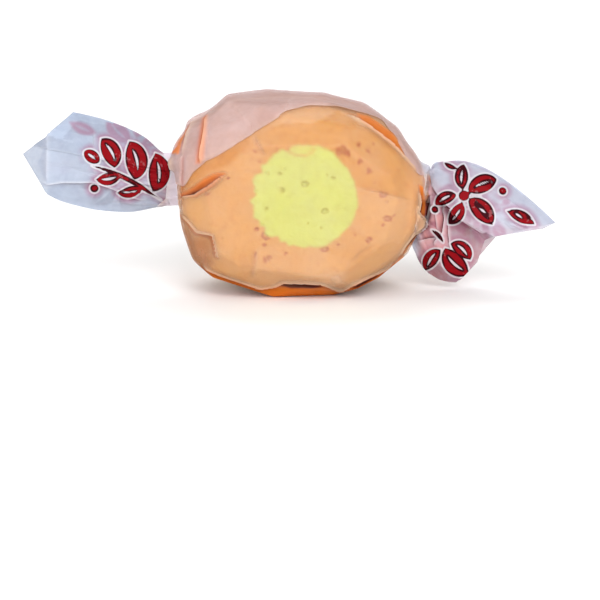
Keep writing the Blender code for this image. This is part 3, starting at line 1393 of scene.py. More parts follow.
@dataclass
class Candy:
    """The orange taffy with its lemon centre."""

    form: CandyForm
    centre: CentreForm
    paper: PaperForm
    segments: int = 300
    rings: int = 220
    rod_sides: int = 220
    smooth_angle: float = math.radians(35)
    orange: PulledCandy = PulledCandy(
        "orange_candy", ORANGE, deep=(0.34, 0.055, 0.012), pale=(0.63, 0.34, 0.110),
        pit=(0.36, 0.055, 0.010), blend=LEMON,
    )
    lemon: PulledCandy = PulledCandy(
        "lemon_candy", LEMON, deep=(0.42, 0.36, 0.03), pale=(0.62, 0.62, 0.21),
        pit=(0.42, 0.36, 0.04), blend=ORANGE,
    )
    bubbles: dict[Face, Bubbles] = field(init=False)
    dimples: dict[Face, Bubbles] = field(init=False)

    def __post_init__(self) -> None:
        """Draws the bubbles of both cut faces, and sets the larger ones of the front."""
        self.bubbles = {
            face: Bubbles.scattered(SEED + 20 + i, 22, (0.12, 0.45), (11.5, 8.6), (0, 0), 0.5)
            for i, face in enumerate(Face)
        }
        self.dimples = {
            face: Bubbles.scattered(SEED + 30 + i, 4, (0.10, 0.2), (5.2, 5.2), (0.1, 1.1), 0.4)
            for i, face in enumerate(Face)
        }
        self.bubbles[Face.FRONT].add(((4.3, 6.6, 0.64), (5.1, 6.3, 0.34), (6.35, 7.2, 0.24),
                                      (7.4, 6.4, 0.28), (6.45, 5.3, 0.28), (8.0, 7.2, 0.18),
                                      (9.2, 1.4, 0.44), (9.7, -1.4, 0.46), (9.1, -2.2, 0.22),
                                      (-4.5, -3.5, 0.50), (-4.6, -4.5, 0.22), (2.4, -5.0, 0.44),
                                      (-5.7, 6.6, 0.24), (-5.1, 5.4, 0.18), (-5.7, -5.6, 0.2),
                                      (2.9, -4.2, 0.2)))
        self.dimples[Face.FRONT].add(((-2.8, 3.9, 0.26), (-2.5, 2.0, 0.34), (0.1, 2.7, 0.46),
                                      (3.4, 3.4, 0.26), (2.4, -0.5, 0.44), (-4.4, -0.2, 0.22)))

    def drum(self, name: str) -> bpy.types.Object:
        """The whole drum: a primitive sphere, drawn out to flat faces and a round edge.

        Args:
            name: The object's name.

        Returns:
            The object, in metres at its place.
        """
        clear_selection()
        bpy.ops.mesh.primitive_uv_sphere_add(
            segments=self.segments, ring_count=self.rings, radius=1
        )
        made = bpy.context.object
        made.name = name
        ball = vertex_places(made.data)
        share = np.arctan2(ball[:, 1], ball[:, 0]) / (2 * math.pi)
        along = np.arccos(np.clip(ball[:, 2], -1, 1)) / math.pi
        points = self.knead(self.paper.filled(self.form.skin(share, along)))
        for push in PUSHES:
            points = push.move(points)
        place_vertices(made.data, points, self.form.rise)
        select_only(made)
        bpy.ops.object.mode_set(mode="EDIT")
        bpy.ops.mesh.select_all(action="SELECT")
        bpy.ops.mesh.normals_make_consistent(inside=False)
        bpy.ops.object.mode_set(mode="OBJECT")
        return made

    def on_face(self, y: Array, face: Face) -> Array:
        """How much points belong to a cut face.

        Args:
            y: The points' places towards the back.
            face: The cut face.

        Returns:
            Shares from 0 to 1.
        """
        return smooth((y * face.value - self.form.half_depth + 2.0) / 1.2)

    def knead(self, points: Array) -> Array:
        """Gives the drum soft lumps, and pits where bubbles break its faces.

        Args:
            points: The smooth drum's points.

        Returns:
            The uneven points.
        """
        x, y, z = points.T
        lump = np.sin(0.55 * x + 0.3 * z + 1.0) * np.sin(0.62 * z - 0.2 * y + 0.4)
        lump = lump + 0.5 * np.sin(1.3 * x - 0.9 * z) * np.sin(1.1 * z + 0.7 * x + 2.0)
        shift = points / np.linalg.norm(points, axis=-1, keepdims=True)
        shaped = points - shift * (0.03 * (1.5 + lump))[:, None]
        for face in Face:
            on_face = self.on_face(y, face)
            sunk = self.bubbles[face].pits(x, z)[0] * (self.centre.gap(x, z) > 0)
            dimple = self.dimples[face].pits(x, z)[0] * (self.centre.gap(x, z) < -0.2)
            shaped[:, 1] -= face.value * (sunk + dimple) * on_face
        return shaped

    def rod(self, name: str) -> bpy.types.Object:
        """The lemon centre's rod: a primitive cylinder, drawn out to the lobed outline.

        Args:
            name: The object's name.

        Returns:
            The object, in metres at its place.
        """
        clear_selection()
        bpy.ops.mesh.primitive_cylinder_add(
            vertices=self.rod_sides, radius=1, depth=3 * self.form.half_depth,
            rotation=(math.pi / 2, 0, 0),
        )
        made = bpy.context.object
        made.name = name
        bpy.ops.object.transform_apply(location=False, rotation=True, scale=True)
        points = vertex_places(made.data)
        turn = np.arctan2(points[:, 2], points[:, 0])
        reach = self.centre.reach(turn)
        points[:, 0] = self.centre.x + reach * np.cos(turn)
        points[:, 2] = self.centre.rise + reach * np.sin(turn)
        place_vertices(made.data, points, self.form.rise)
        return made

    def carve(self, piece: bpy.types.Object, tool: bpy.types.Object, way: str) -> None:
        """Cuts a piece by a tool, or keeps what both share.

        Args:
            piece: The piece.
            tool: The tool.
            way: DIFFERENCE or INTERSECT.
        """
        cut = piece.modifiers.new("cut", "BOOLEAN")
        cut.operation = way
        cut.solver = "EXACT"
        cut.object = tool
        select_only(piece)
        bpy.ops.object.modifier_apply(modifier="cut")

    def dress(self, piece: bpy.types.Object, finish: PulledCandy, bubbles: dict) -> None:
        """Stores what the finish reads and gives the piece its finish.

        Args:
            piece: The piece.
            finish: The candy's finish.
            bubbles: The bubbles on each face.
        """
        points = vertex_places(piece.data) / METRES
        points[:, 2] -= self.form.rise
        x, y, z = points.T
        pit = np.zeros(len(points))
        for face in Face:
            pit = np.maximum(pit, bubbles[face].pits(x, z)[1] * self.on_face(y, face))
        gap = np.abs(self.centre.gap(x, z))
        set_numbers(piece.data, "pit", pit * smooth(gap / 0.4))
        streak = self.centre.streak(x, z) * (self.centre.gap(x, z) < 0.1)
        set_numbers(piece.data, "blend", np.maximum(0.5 * (1 - smooth(gap / 0.22)), streak))
        piece.data.materials.clear()
        piece.data.materials.append(finish.material())
        select_only(piece)
        bpy.ops.object.shade_smooth_by_angle(angle=self.smooth_angle)

    def build(self) -> None:
        taffy = self.drum("orange_taffy")
        centre = self.drum("lemon_taffy")
        tool = self.rod("rod")
        self.carve(taffy, tool, "DIFFERENCE")
        self.carve(centre, tool, "INTERSECT")
        bpy.data.objects.remove(tool)
        self.dress(taffy, self.orange, self.bubbles)
        self.dress(centre, self.lemon, self.dimples)
        for piece, node in ((taffy, "taffy"), (centre, "centre")):
            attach(piece, "root")
            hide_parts(node)
            LOG.info("%s has %d faces", piece.name, len(piece.data.polygons))


@dataclass(frozen=True)
class Grid:
    """How finely the sheet is divided."""

    twist_rows: int = 90
    body_rows: int = 158
    regular: int = 256
    loose: int = 36

    @property
    def rows(self) -> int:
        """All rows, from rim to rim."""
        return 2 * self.twist_rows + self.body_rows

    @property
    def columns(self) -> int:
        """All columns, from the hidden edge to the raw edge."""
        return self.regular + self.loose

    @property
    def body(self) -> slice:
        """The rows over the candy."""
        return slice(self.twist_rows, self.twist_rows + self.body_rows)


@dataclass
class Wrapper:
    """The waxed paper: one sheet, rolled round the candy, pleated at the necks and twisted."""

    form: PaperForm
    centre: CentreForm
    rise: float
    grid: Grid = Grid()
    hidden_edge: float = math.radians(125)
    hold: float = math.radians(-255)
    thickness: float = 0.05
    lap_lift: float = 0.22
    lap_range: tuple = (math.radians(2), math.radians(118))
    lap_limits: tuple = (math.radians(26), math.radians(96))
    lap_start: float = math.radians(26)
    lap_ease: float = math.radians(24)
    pleat_swing: float = math.radians(6.0)
    pleat_height: float = 0.42
    left_pinch: float = 0.13
    body_length: float = 43.6
    neck_place: float = 22.0
    twist_length: float = 17.0
    girth: float = 66.0
    tip_start: float = -30.6
    tip_bend: float = 0.42
    lap_cover: float = 0.66
    left_neck_cover: float = 0.90
    right_neck_cover: float = 0.70
    twist_cover: float = 0.82
    collar_cover: float = 0.95
    slip_height: float = 0.9
    slipped_panel: int = 6
    left_overlap: int = 8
    right_overlap: int = 3
    smooth_angle: float = math.radians(24)
    left: Twist = field(init=False)
    right: Twist = field(init=False)
    polar: Array = field(init=False)
    share: Array = field(init=False)

    def __post_init__(self) -> None:
        """Hangs the twists from the large shape and spaces out the rows."""
        left_neck = math.pi - self.form.left_neck
        self.left = Twist(left_neck, LEFT_FOLDS, (-1.5, 0.0, -0.1))
        self.right = Twist(self.form.right_neck, RIGHT_FOLDS, (0.5, 0.0, 0.1))
        self.left.hang(self.form)
        self.right.hang(self.form)
        self.polar = uneven(
            self.left.neck, self.right.neck, self.grid.body_rows,
            lambda polar: 1 + 0.5 * ((polar - math.pi / 2) / 1.3) ** 2,
        )
        self.share = np.arange(1, self.grid.twist_rows + 1) / self.grid.twist_rows

    def rows_of(self, left: Array, body: Array, right: Array) -> Array:
        """Joins values of the rows.

        Args:
            left: Values from the left neck to the left rim.
            body: Values over the candy.
            right: Values from the right neck to the right rim.

        Returns:
            Values from the left rim to the right rim.
        """
        return np.concatenate([left[::-1], body, right])

    def lap_angles(self) -> Array:
        """Where the sheet's raw edge lies round x, for each row.

        Returns:
            Angles in radians.
        """
        angles = np.linspace(*self.lap_range, 465)
        polar, angle = np.meshgrid(self.polar, angles, indexing="ij")
        x, up = in_view(self.form.over_candy(polar, angle))
        line_x, line_up = np.array(LAP_LINE).T
        above = up > np.interp(x, line_x, line_up)
        first = np.where(above.any(axis=1), above.argmax(axis=1), len(angles) - 1)
        ease = smooth(self.form.from_neck(self.polar) / math.radians(5)) * (self.polar > 1.6)
        low, high = self.lap_limits
        found = np.clip(angles[first], low * (1 - 0.8 * ease), high)
        kernel = np.ones(5) / 5
        found = np.convolve(np.pad(found, 2, mode="edge"), kernel, mode="valid")
        flat = np.ones(self.grid.twist_rows)
        return self.rows_of(flat * found[0], found, flat * found[-1])

    def flat_angles(self) -> Array:
        """The angle of each grid point round x, before any pleat.

        Returns:
            Angles in radians, which fall from the hidden edge to the raw edge.
        """
        regular = uneven(
            self.hidden_edge, self.hold, self.grid.regular,
            lambda turn: 1 + 0.8 * smooth((1.3 - np.abs(turn + 0.17)) / 0.26),
        )
        t = np.arange(1, self.grid.loose + 1) / self.grid.loose
        raw = self.lap_angles() - 2 * math.pi
        loose = self.hold + (raw[:, None] - self.hold) * t
        angle = np.concatenate([np.tile(regular, (self.grid.rows, 1)), loose], axis=1)
        for twist, rows in self.twist_rows():
            for at in twist.angles:
                for wrap in (0, -2 * math.pi):
                    near = int(np.argmin(np.abs(angle[rows.start] - at - wrap)))
                    if 0 < near < self.grid.columns - 1:
                        angle[rows, near] = at + wrap
        return angle

    def twist_rows(self) -> tuple:
        """Both twists with their rows."""
        body = self.grid.body
        return (self.left, slice(0, body.start)), (self.right, slice(body.stop, self.grid.rows))

    def surface(self, angle: Array) -> Array:
        """The sheet's large shape.

        Args:
            angle: The angle of each grid point round x.

        Returns:
            The points, in millimetres.
        """
        body = self.grid.body
        points = np.empty((*angle.shape, 3))
        polar = np.broadcast_to(self.polar[:, None], angle[body].shape)
        points[body] = self.form.over_candy(polar, angle[body])
        shares = (self.share[::-1], self.share)
        for (twist, rows), share in zip(self.twist_rows(), shares):
            wide = np.broadcast_to(share[:, None], angle[rows].shape)
            points[rows] = twist.points(self.form, wide, angle[rows])
        return points

    def normals(self, angle: Array, points: Array) -> Array:
        """The outward normals of the large shape.

        Args:
            angle: The angle of each grid point round x.
            points: The points at those angles.

        Returns:
            Unit vectors.
        """
        step = math.radians(0.6)
        across = self.surface(angle + step) - self.surface(angle - step)
        along = np.gradient(points, axis=0)
        normal = np.cross(along, across)
        length = np.linalg.norm(normal, axis=-1, keepdims=True)
        return normal / np.maximum(length, 1e-9)

    def neck_fade(self, reach: float) -> Array:
        """How strong a pleat is in each row.

        Args:
            reach: How far the pleat runs from the neck over the shoulder, as an angle.

        Returns:
            A share for each row, 1 at the neck.
        """
        side = np.where(self.polar < math.pi / 2, 0.4, 0.7)
        body = 1 - smooth(self.form.from_neck(self.polar) / (reach * side))
        twist = 1 - smooth(self.share / (0.30 + 0.45 * reach))
        return self.rows_of(twist, body, twist)

    def pleated(self, angle: Array) -> tuple[Array, Array, Array]:
        """Lays the sheet in knife pleats round the necks.

        Args:
            angle: The angle of each grid point before pleating.

        Returns:
            The new angles, the rise of each point and how close it is to a pleat's edge.
        """
        shifted = angle.copy()
        rise = np.zeros_like(angle)
        crease = np.zeros_like(angle)
        step = math.radians(380) / self.grid.regular
        for i, (middle, height, reach) in enumerate(self.form.pleat_list()):
            way = 1 if i % 3 else -1
            fade = (self.neck_fade(reach) * height)[:, None]
            for wrap in (0, -2 * math.pi):
                off = (angle - middle - wrap) * -way / step
                edge = bell((off + 0.5) / 1.1)
                drawn = bell(off / 3.2) * -0.6
                shifted += way * self.pleat_swing * fade * np.where(off < 0, -1, 1) * drawn
                climb = np.where(off < 0, bell(off / 1.2), bell(off / 6.5))
                rise = np.maximum(rise, self.pleat_height * fade * climb)
                crease = np.maximum(crease, fade * edge)
        return shifted, rise, crease

    def wrinkles(self, angle: Array) -> Array:
        """Fine gathers that run out of the necks.

        Args:
            angle: The angle of each grid point round x.

        Returns:
            The height of each point, from -1 to 1.
        """
        draw = random.Random(SEED + 7)
        waves = np.zeros_like(angle)
        for count in (23, 31, 43, 61):
            reach = draw.uniform(0.5, 1.0)
            fade = self.neck_fade(reach * math.radians(30))[:, None] ** 1.5
            waves += fade * np.cos(count * angle + draw.uniform(0, 6.28)) * (20 / count)
        return waves / 2

    def lap(self, angle: Array) -> Array:
        """How much of a second layer each grid point is, over the hidden edge.

        Args:
            angle: The angle of each grid point.

        Returns:
            A share, 0 on the inner layer and 1 on the outer one.
        """
        start = self.hidden_edge - 2 * math.pi
        return smooth((start + self.lap_start - angle) / self.lap_ease)

    def lay(self) -> Sheet:
        """Lays the sheet round the candy and crumples it.

        Returns:
            The sheet.
        """
        grid = self.grid
        flat = self.flat_angles()
        angle, rise, crease = self.pleated(flat)
        points = self.surface(angle)
        neck = self.form.from_neck(self.polar)
        none = np.zeros(grid.twist_rows)
        ease = np.radians(np.where(self.polar < math.pi / 2, 3.0, 7.0))
        on_body = self.rows_of(none, smooth(neck / ease), none)[:, None]
        calm = self.rows_of(
            1 - smooth((self.share - COLLAR_SHARE) / 0.08),
            1 - smooth(neck / math.radians(4)),
            none,
        )
        calm[grid.rows // 2:] = 0
        rise *= 1 - 0.7 * calm[:, None]
        crease *= 1 - calm[:, None]
        far = self.rows_of(self.share, np.zeros(grid.body_rows), self.share)[:, None]
        lap = self.lap(flat)
        along = (self.polar[0] - self.polar) / (self.polar[0] - self.polar[-1])
        out = self.neck_place + self.twist_length * self.share
        u = self.rows_of(-out, self.body_length * along - self.body_length / 2, out)
        v = -flat[grid.body.start + grid.body_rows // 2] / (2 * math.pi) * self.girth
        large, tone, lines = Crumple(6.5, SEED + 3).spread(u, v)
        small, _, _ = Crumple(2.3, SEED + 4).spread(u, v)
        twist = np.broadcast_to(smooth(far / 0.15), flat.shape)
        loose = np.maximum(0.5 * (1 - on_body) + 0.5 * twist, lap)
        height = large * (0.045 + 0.11 * loose) + small * (0.010 + 0.014 * loose)
        height = height + rise + 0.10 * self.wrinkles(flat) * (1 - 0.7 * calm[:, None])
        height = height + self.lap_lift * lap * (1 - 0.4 * twist)
        # Painted highlights along the pleats' edges, the crumple's creases and the sheet's raw edge.
        glint = np.maximum(crease * 0.45, lines * (0.04 + 0.07 * loose) * (1 - 0.6 * twist))
        glint *= 1 - 0.9 * calm[:, None]
        glint[:, -1] = 0.30
        normals = self.normals(angle, points)
        points = points + normals * height[..., None]
        pinch = self.left_pinch * self.rows_of(
            1 - smooth((self.share - COLLAR_SHARE) / 0.25),
            1 - smooth(neck / math.radians(5)),
            none,
        )
        pinch[grid.rows // 2:] = 0
        middle = points.mean(axis=1, keepdims=True)
        points[..., 1:] += (middle - points)[..., 1:] * pinch[:, None, None]
        ones = np.ones_like(lap)
        tone = tone * (0.25 + np.maximum(0.55 * lap, 0.25 * twist))
        return Sheet(
            points, normals, flat, on_body * ones, lap, far * ones, glint, np.zeros_like(lap),
            np.zeros_like(lap), tone, np.zeros_like(lap),
        )

    def marks(self, sheet: Sheet) -> dict[str, Array]:
        """The numbers that the finish reads.

        Args:
            sheet: The finished sheet.

        Returns:
            Named numbers for each grid point.
        """
        tone = sheet.tone
        past = smooth(sheet.far / 0.06)
        gap = self.form.hull.candy.gap(sheet.points) - self.form.fill
        cover = 0.38 + 0.52 * smooth((gap - 0.05) / 0.7)
        cover = cover + (self.lap_cover - cover) * sheet.lap
        at_left = sheet.points[..., 0] < 0
        neck = np.where(at_left, self.left_neck_cover, self.right_neck_cover)
        cover = cover + (neck - cover) * (1 - sheet.on_body) * (1 - past)
        cover = cover + (self.twist_cover - cover) * past
        collar = (1 - smooth((sheet.far - 0.08) / 0.06)) * (1 - sheet.on_body)
        collar *= at_left
        tip = smooth((-30.4 - sheet.points[..., 0]) / 0.8)
        cover = cover + (self.collar_cover - cover) * np.maximum(0.9 * collar, 0.4 * tip)
        veil = 1 - np.sqrt(1 - np.clip(cover, 0.02, 0.97))
        x, up = in_view(sheet.points)
        right = x > 0
        front = sheet.points[..., 1] < 0
        flap = soft_inside(x, up, FLAP, 0.08) * front
        strap = soft_inside(x, up, STRAP, 0.2) * front
        veil = np.maximum(veil, 0.92 * flap * smooth((x - 13.0) / 1.0))
        warm = np.where(
            right, 1 - smooth(sheet.far / 0.05), 1 - 0.95 * smooth((sheet.far - 0.04) / 0.16)
        )
        head = soft_inside(x, up, HEAD, 0.3)
        warm = np.maximum(warm, flap) * (1 - head)
        outer = np.maximum(np.maximum(sheet.lap, 0.9 * strap), smooth((-14.8 - x) / 0.7))
        over = np.interp(x, *np.array(BLUSH_LINE).T)
        below = smooth((over - up + 0.2) / 0.8) * smooth((x - 13.0) / 1.5)
        blush = below * (0.85 + 0.15 * smooth((19.0 - x) / 3.5)) * smooth(sheet.far / 0.03)
        near = 0.30 * smooth((over - up + 1.8) / 1.6) * smooth((x - 13.5) / 1.0)
        blush = np.maximum(blush, near * smooth(sheet.far / 0.03)) * (1 - flap)
        peach = smooth((x - 11.5) / 1.5) * (1 - sheet.lap) * 0.9
        peach = np.maximum(peach, flap * smooth((x - 12.5) / 1.0))
        band = np.maximum(0.32 * smooth(sheet.far / 0.05) * (1 - flap), 0.6 * head)
        band = np.where(right, band, 0.9 * collar)
        on_face = smooth((np.abs(sheet.points[..., 1]) - 5.0) / 2.0)
        inside = self.centre.gap(sheet.points[..., 0], sheet.points[..., 2])
        lemon = (1 - smooth((inside + 0.15) / 0.3)) * on_face
        ink = np.full(x.shape, NOWHERE_NEAR)
        ghost = np.full(x.shape, NOWHERE_NEAR)
        for twist, rows in self.twist_rows():
            before = twist.panel(sheet.angle[rows])[0]
            slip = self.slip_height * math.sin(5.1 * self.slipped_panel + 1.0)
            slip = slip * (before == self.slipped_panel)
            for gaps, motifs in ((ink, PRINT), (ghost, GHOST)):
                for motif in motifs:
                    gap = motif.gap(sheet.points[rows], slip)
                    gaps[rows] = np.minimum(gaps[rows], gap)
        return {
            "veil": veil, "peach": peach, "ink": ink, "ghost": ghost, "warm": warm, "blush": blush,
            "lap": outer, "lemon": lemon, "tone": np.clip(0.5 + 0.5 * tone, 0, 1),
            "dusk": np.clip(sheet.dusk, 0, 1), "band": band, "ember": sheet.ember,
            "crease": np.clip(sheet.crease, 0, 1), "hollow": np.clip(sheet.hollow, 0, 1),
        }

    def shape(self) -> tuple[Array, dict[str, Array]]:
        """Works out the whole sheet.

        Returns:
            The points, and the numbers that the finish reads.
        """
        sheet = self.lay()
        for push in PUSHES:
            sheet.points = push.move(sheet.points)
        for fold in (*LIPS, *PATCHES):
            fold.press(sheet)
        sheet.crease = evened(sheet.crease)
        sheet.hollow = evened(sheet.hollow)
        past = np.clip(self.tip_start - sheet.points[..., 0], 0, None)
        sheet.points[..., 1] += self.tip_bend * past
        low = -self.rise + 2 * self.thickness
        sheet.points[..., 2] = np.maximum(sheet.points[..., 2], low)
        return sheet.points, self.marks(sheet)

    def piece(self, name: str, points: Array, marks: dict[str, Array],
              finish: bpy.types.Material) -> None:
        """Makes one stretch of the sheet from a primitive grid.

        Args:
            name: The object's name.
            points: The stretch's points, by row and column.
            marks: Named numbers for each point.
            finish: The paper's finish.
        """
        clear_selection()
        bpy.ops.mesh.primitive_grid_add(
            x_subdivisions=points.shape[1] - 1, y_subdivisions=points.shape[0] - 1, size=1
        )
        made = bpy.context.object
        made.name = name
        place_vertices(made.data, points, self.rise)
        for label, values in marks.items():
            set_numbers(made.data, label, values)
        made.data.materials.append(finish)
        select_only(made)
        bpy.ops.object.shade_smooth_by_angle(angle=self.smooth_angle)
        wall = made.modifiers.new("thickness", "SOLIDIFY")
        wall.thickness = self.thickness * METRES
        wall.offset = -1
        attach(made, "root")
        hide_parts("wrapper")
        LOG.info("%s has %d faces", name, len(made.data.polygons))

    def build(self) -> None:
        points, marks = self.shape()
        finish = WaxedPaper().material()
        left = self.grid.body.start - self.left_overlap
        right = self.grid.body.stop + self.right_overlap
        stretches = (
            ("left_twist", slice(0, left + 1)),
            ("paper_body", slice(left, right + 1)),
            ("right_twist", slice(right, self.grid.rows)),
        )
        for name, rows in stretches:
            parts = {label: values[rows] for label, values in marks.items()}
            self.piece(name, points[rows], parts, finish)


# Lines on the picture plane: the raw edge of the lap, and the upper end of the blush at the right.
LAP_LINE = (
    (-14.8, 0.4), (-13.7, 2.2), (-12.3, 3.3), (-10.1, 4.5), (-8.2, 5.6), (-4.6, 7.9), (-3.3, 8.8),
    (-1.8, 9.6), (0.5, 10.2), (4.1, 10.0), (6.2, 9.5), (9.2, 8.8), (10.3, 7.8), (11.3, 6.0),
    (12.0, 4.6), (13.7, 2.2),
)

BLUSH_LINE = ((13.5, 2.3), (15.0, 1.3), (16.8, -1.2), (18.3, -2.8), (22.3, -5.1))

# Pushes that the paper and the candy share.
PUSHES = (
    Push(-15.8, 1.4, 0.85, -0.1, 3.2),
    Push(-14.3, 8.4, 0.45, -0.55, 3.0),
    Push(-11.8, 10.9, 0.10, -0.45, 2.2),
    Push(-15.6, -3.6, 0.45, 0.0, 3.0),
    Push(12.8, 7.0, -0.30, -0.30, 3.0),
    Push(-13.7, 8.7, -0.50, 0.45, 1.2),
    Push(11.6, 6.6, 0.15, 0.25, 1.4),
    Push(15.9, 2.8, -0.42, 0.60, 1.1),
    Push(14.2, 3.7, -0.25, -0.25, 0.9),
    Push(15.2, 2.4, 0.05, 0.40, 0.7),
)

# Folded edges: the bottom and the sides, the lap, the necks, both twists, then the back.
# Each lip paints a highlight along its raised side and shade in the hollow on its low side; some also
# paint broader shade beyond it.
LIPS = (
    Lip(((-12.4, -8.4), (-11.5, -9.15), (-10.1, -9.8), (-8.85, -10.2), (-5.2, -11.4),
         (-3.5, -11.15), (-2.5, -10.65), (2.0, -10.8), (4.4, -11.8), (6.5, -10.6), (9.9, -9.1),
         (11.3, -7.6)),
        0.16, 1.2, 0.30, 0.9, 0.78, hollow_width=0.6, rim=0.2),
    Lip(((-14.8, -2.3), (-13.7, -3.3), (-12.7, -4.55), (-10.8, -4.9), (-10.5, -6.4),
         (-10.1, -8.2)), 0.32, 1.6, 0.22, 0.8, 0.9, dusk=0.8, hollow_width=0.35, dusk_width=1.3),
    Lip(((13.7, 2.2), (12.0, 4.0), (10.5, 5.7), (8.4, 7.3), (6.9, 8.4), (4.6, 9.5)),
        0.30, 1.6, 0.22, 0.9, 0.6, hollow_width=0.4),
    Lip(((-9.3, 2.3), (-11.1, 0.9), (-12.9, -0.3), (-14.9, -0.7)),
        0.30, 1.4, 0.15, 0.8, 1.0, hollow_width=0.32),
    Lip(((-11.5, 9.4), (-11.7, 7.2), (-12.1, 5.2), (-12.3, 3.4)), 0.28, 1.8, 0.25, 0.7, 0.9,
        Layer.LAP, hollow_width=0.6),
    Lip(((-12.9, 9.2), (-13.9, 7.0), (-14.5, 4.6)), 0.22, 1.0, 0.15, 0.8, 0.6, Layer.LAP,
        hollow_width=0.3),
    Lip(((-1.5, 11.0), (-3.0, 9.0), (-4.2, 7.6)), 0.08, 1.6, 0.05, 0.2, 0.1, Layer.LAP, snap=0.1),
    Lip(((-8.8, 10.6), (-6.4, 8.2), (-5.9, 6.6)), 0.08, 1.6, 0.05, 0.2, 0.1, Layer.LAP, snap=0.1),
    Lip(((-5.7, -6.8), (-5.8, -8.6), (-6.1, -10.2)), 0.08, 1.4, 0.05, 0.4, 0.25, snap=0.1),
    Lip(((5.4, -8.2), (6.6, -7.0), (8.0, -6.1)), 0.08, 1.4, 0.05, 0.4, 0.2, snap=0.1),
    Lip(((12.6, -0.9), (9.6, -0.2), (6.6, 0.5)), 0.08, 1.6, 0.05, 0.3, 0.15, snap=0.1),
    Lip(((-5.9, 6.8), (-5.2, 5.6), (-4.5, 4.4)), 0.14, 1.6, 0.05, 0.4, 0.4, snap=0.1,
        hollow_width=0.4),
    Lip(((-14.5, -1.9), (-14.6, 1.4), (-14.5, 4.6)), 0.25, 0.8, 0.2, 0.1, 0.5, Layer.TWIST,
        depth=0.8, hollow_width=0.22),
    Lip(((-15.9, 4.6), (-16.1, 1.4), (-16.3, -0.6), (-17.6, -1.7)), 0.26, 0.8, 0.15, 1.0, 0.4,
        Layer.TWIST, depth=0.6, hollow_width=0.3, rim=0.26),
    Lip(((10.9, -8.1), (12.0, -6.3), (13.2, -4.8), (14.7, -3.9), (13.5, -2.4), (13.8, -1.4),
         (13.6, 0.6)), 0.24, 1.2, 0.25, 1.0, 1.0, Layer.TWIST, depth=0.3, hollow_width=0.45,
        rim=0.18),
    Lip(((-31.3, 1.0), (-28.9, 1.45), (-25.0, 1.45), (-22.6, 0.65), (-17.8, -1.6)), 0.30, 1.4,
        0.25, 0.7, 0.4, Layer.TWIST, depth=-0.3),
    Lip(((-30.6, 7.4), (-30.7, 1.3)), 0.08, 1.0, 0.0, 0.6, 0.1, Layer.TWIST, depth=-0.3),
    Lip(((-28.0, 7.8), (-26.4, 8.1), (-24.6, 8.4)), 0.10, 1.2, 0.0, 0.7, 0.1, Layer.TWIST,
        depth=-0.3, snap=0.1),
    Lip(((14.9, 2.1), (16.1, -0.1), (18.3, -2.6), (22.3, -5.1)), 0.45, 1.8, 0.30, 0.6, 0.95,
        Layer.TWIST, depth=-0.2, hollow_width=0.4),
    Lip(((15.1, -0.2), (14.9, -1.6), (14.7, -3.6)), 0.25, 0.8, 0.12, 0.3, 1.0, Layer.TWIST,
        depth=-0.2, hollow_width=0.5),
    Lip(((-25.1, 7.6), (-25.0, 1.8)), 0.06, 0.8, 0.0, 0.35, 0.05, Layer.TWIST, depth=-0.3,
        snap=0.1),
    Lip(((16.6, -1.2), (16.6, -3.4), (16.4, -5.4), (15.3, -6.3)), 0.28, 0.8, 0.15, 1.0, 1.0,
        Layer.TWIST, depth=-0.2, hollow_width=0.34),
    Lip(((17.2, -2.2), (17.2, -5.0), (17.6, -7.2)), 0.20, 0.9, 0.10, 0.8, 0.8,
        Layer.TWIST, depth=-0.2, hollow_width=0.26),
    Lip(((16.2, -5.4), (14.9, -5.5), (13.4, -5.9)), 0.20, 0.8, 0.10, 0.8, 0.9,
        Layer.TWIST, depth=-0.2, hollow_width=0.34),
    Lip(((15.5, -0.6), (15.6, -2.6), (15.9, -4.6)), 0.12, 0.7, 0.05, 0.6, 0.6,
        Layer.TWIST, depth=-0.2, hollow_width=0.3),
    Lip(((-13.5, -3.5), (-9.0, -5.2), (-3.0, -4.2), (2.0, -5.6)), 0.20, 1.9, 0.15, 0.4, 0.4,
        face=Face.BACK),
    Lip(((-9.5, -9.4), (-4.0, -10.6), (2.0, -10.9), (8.5, -9.2), (13.0, -5.0)), 0.40, 2.0, 0.3,
        0.5, 0.9, face=Face.BACK),
    Lip(((12.8, 2.6), (9.0, 4.4), (6.2, 7.0), (3.0, 8.4)), 0.30, 1.8, 0.2, 0.5, 0.6,
        face=Face.BACK),
)
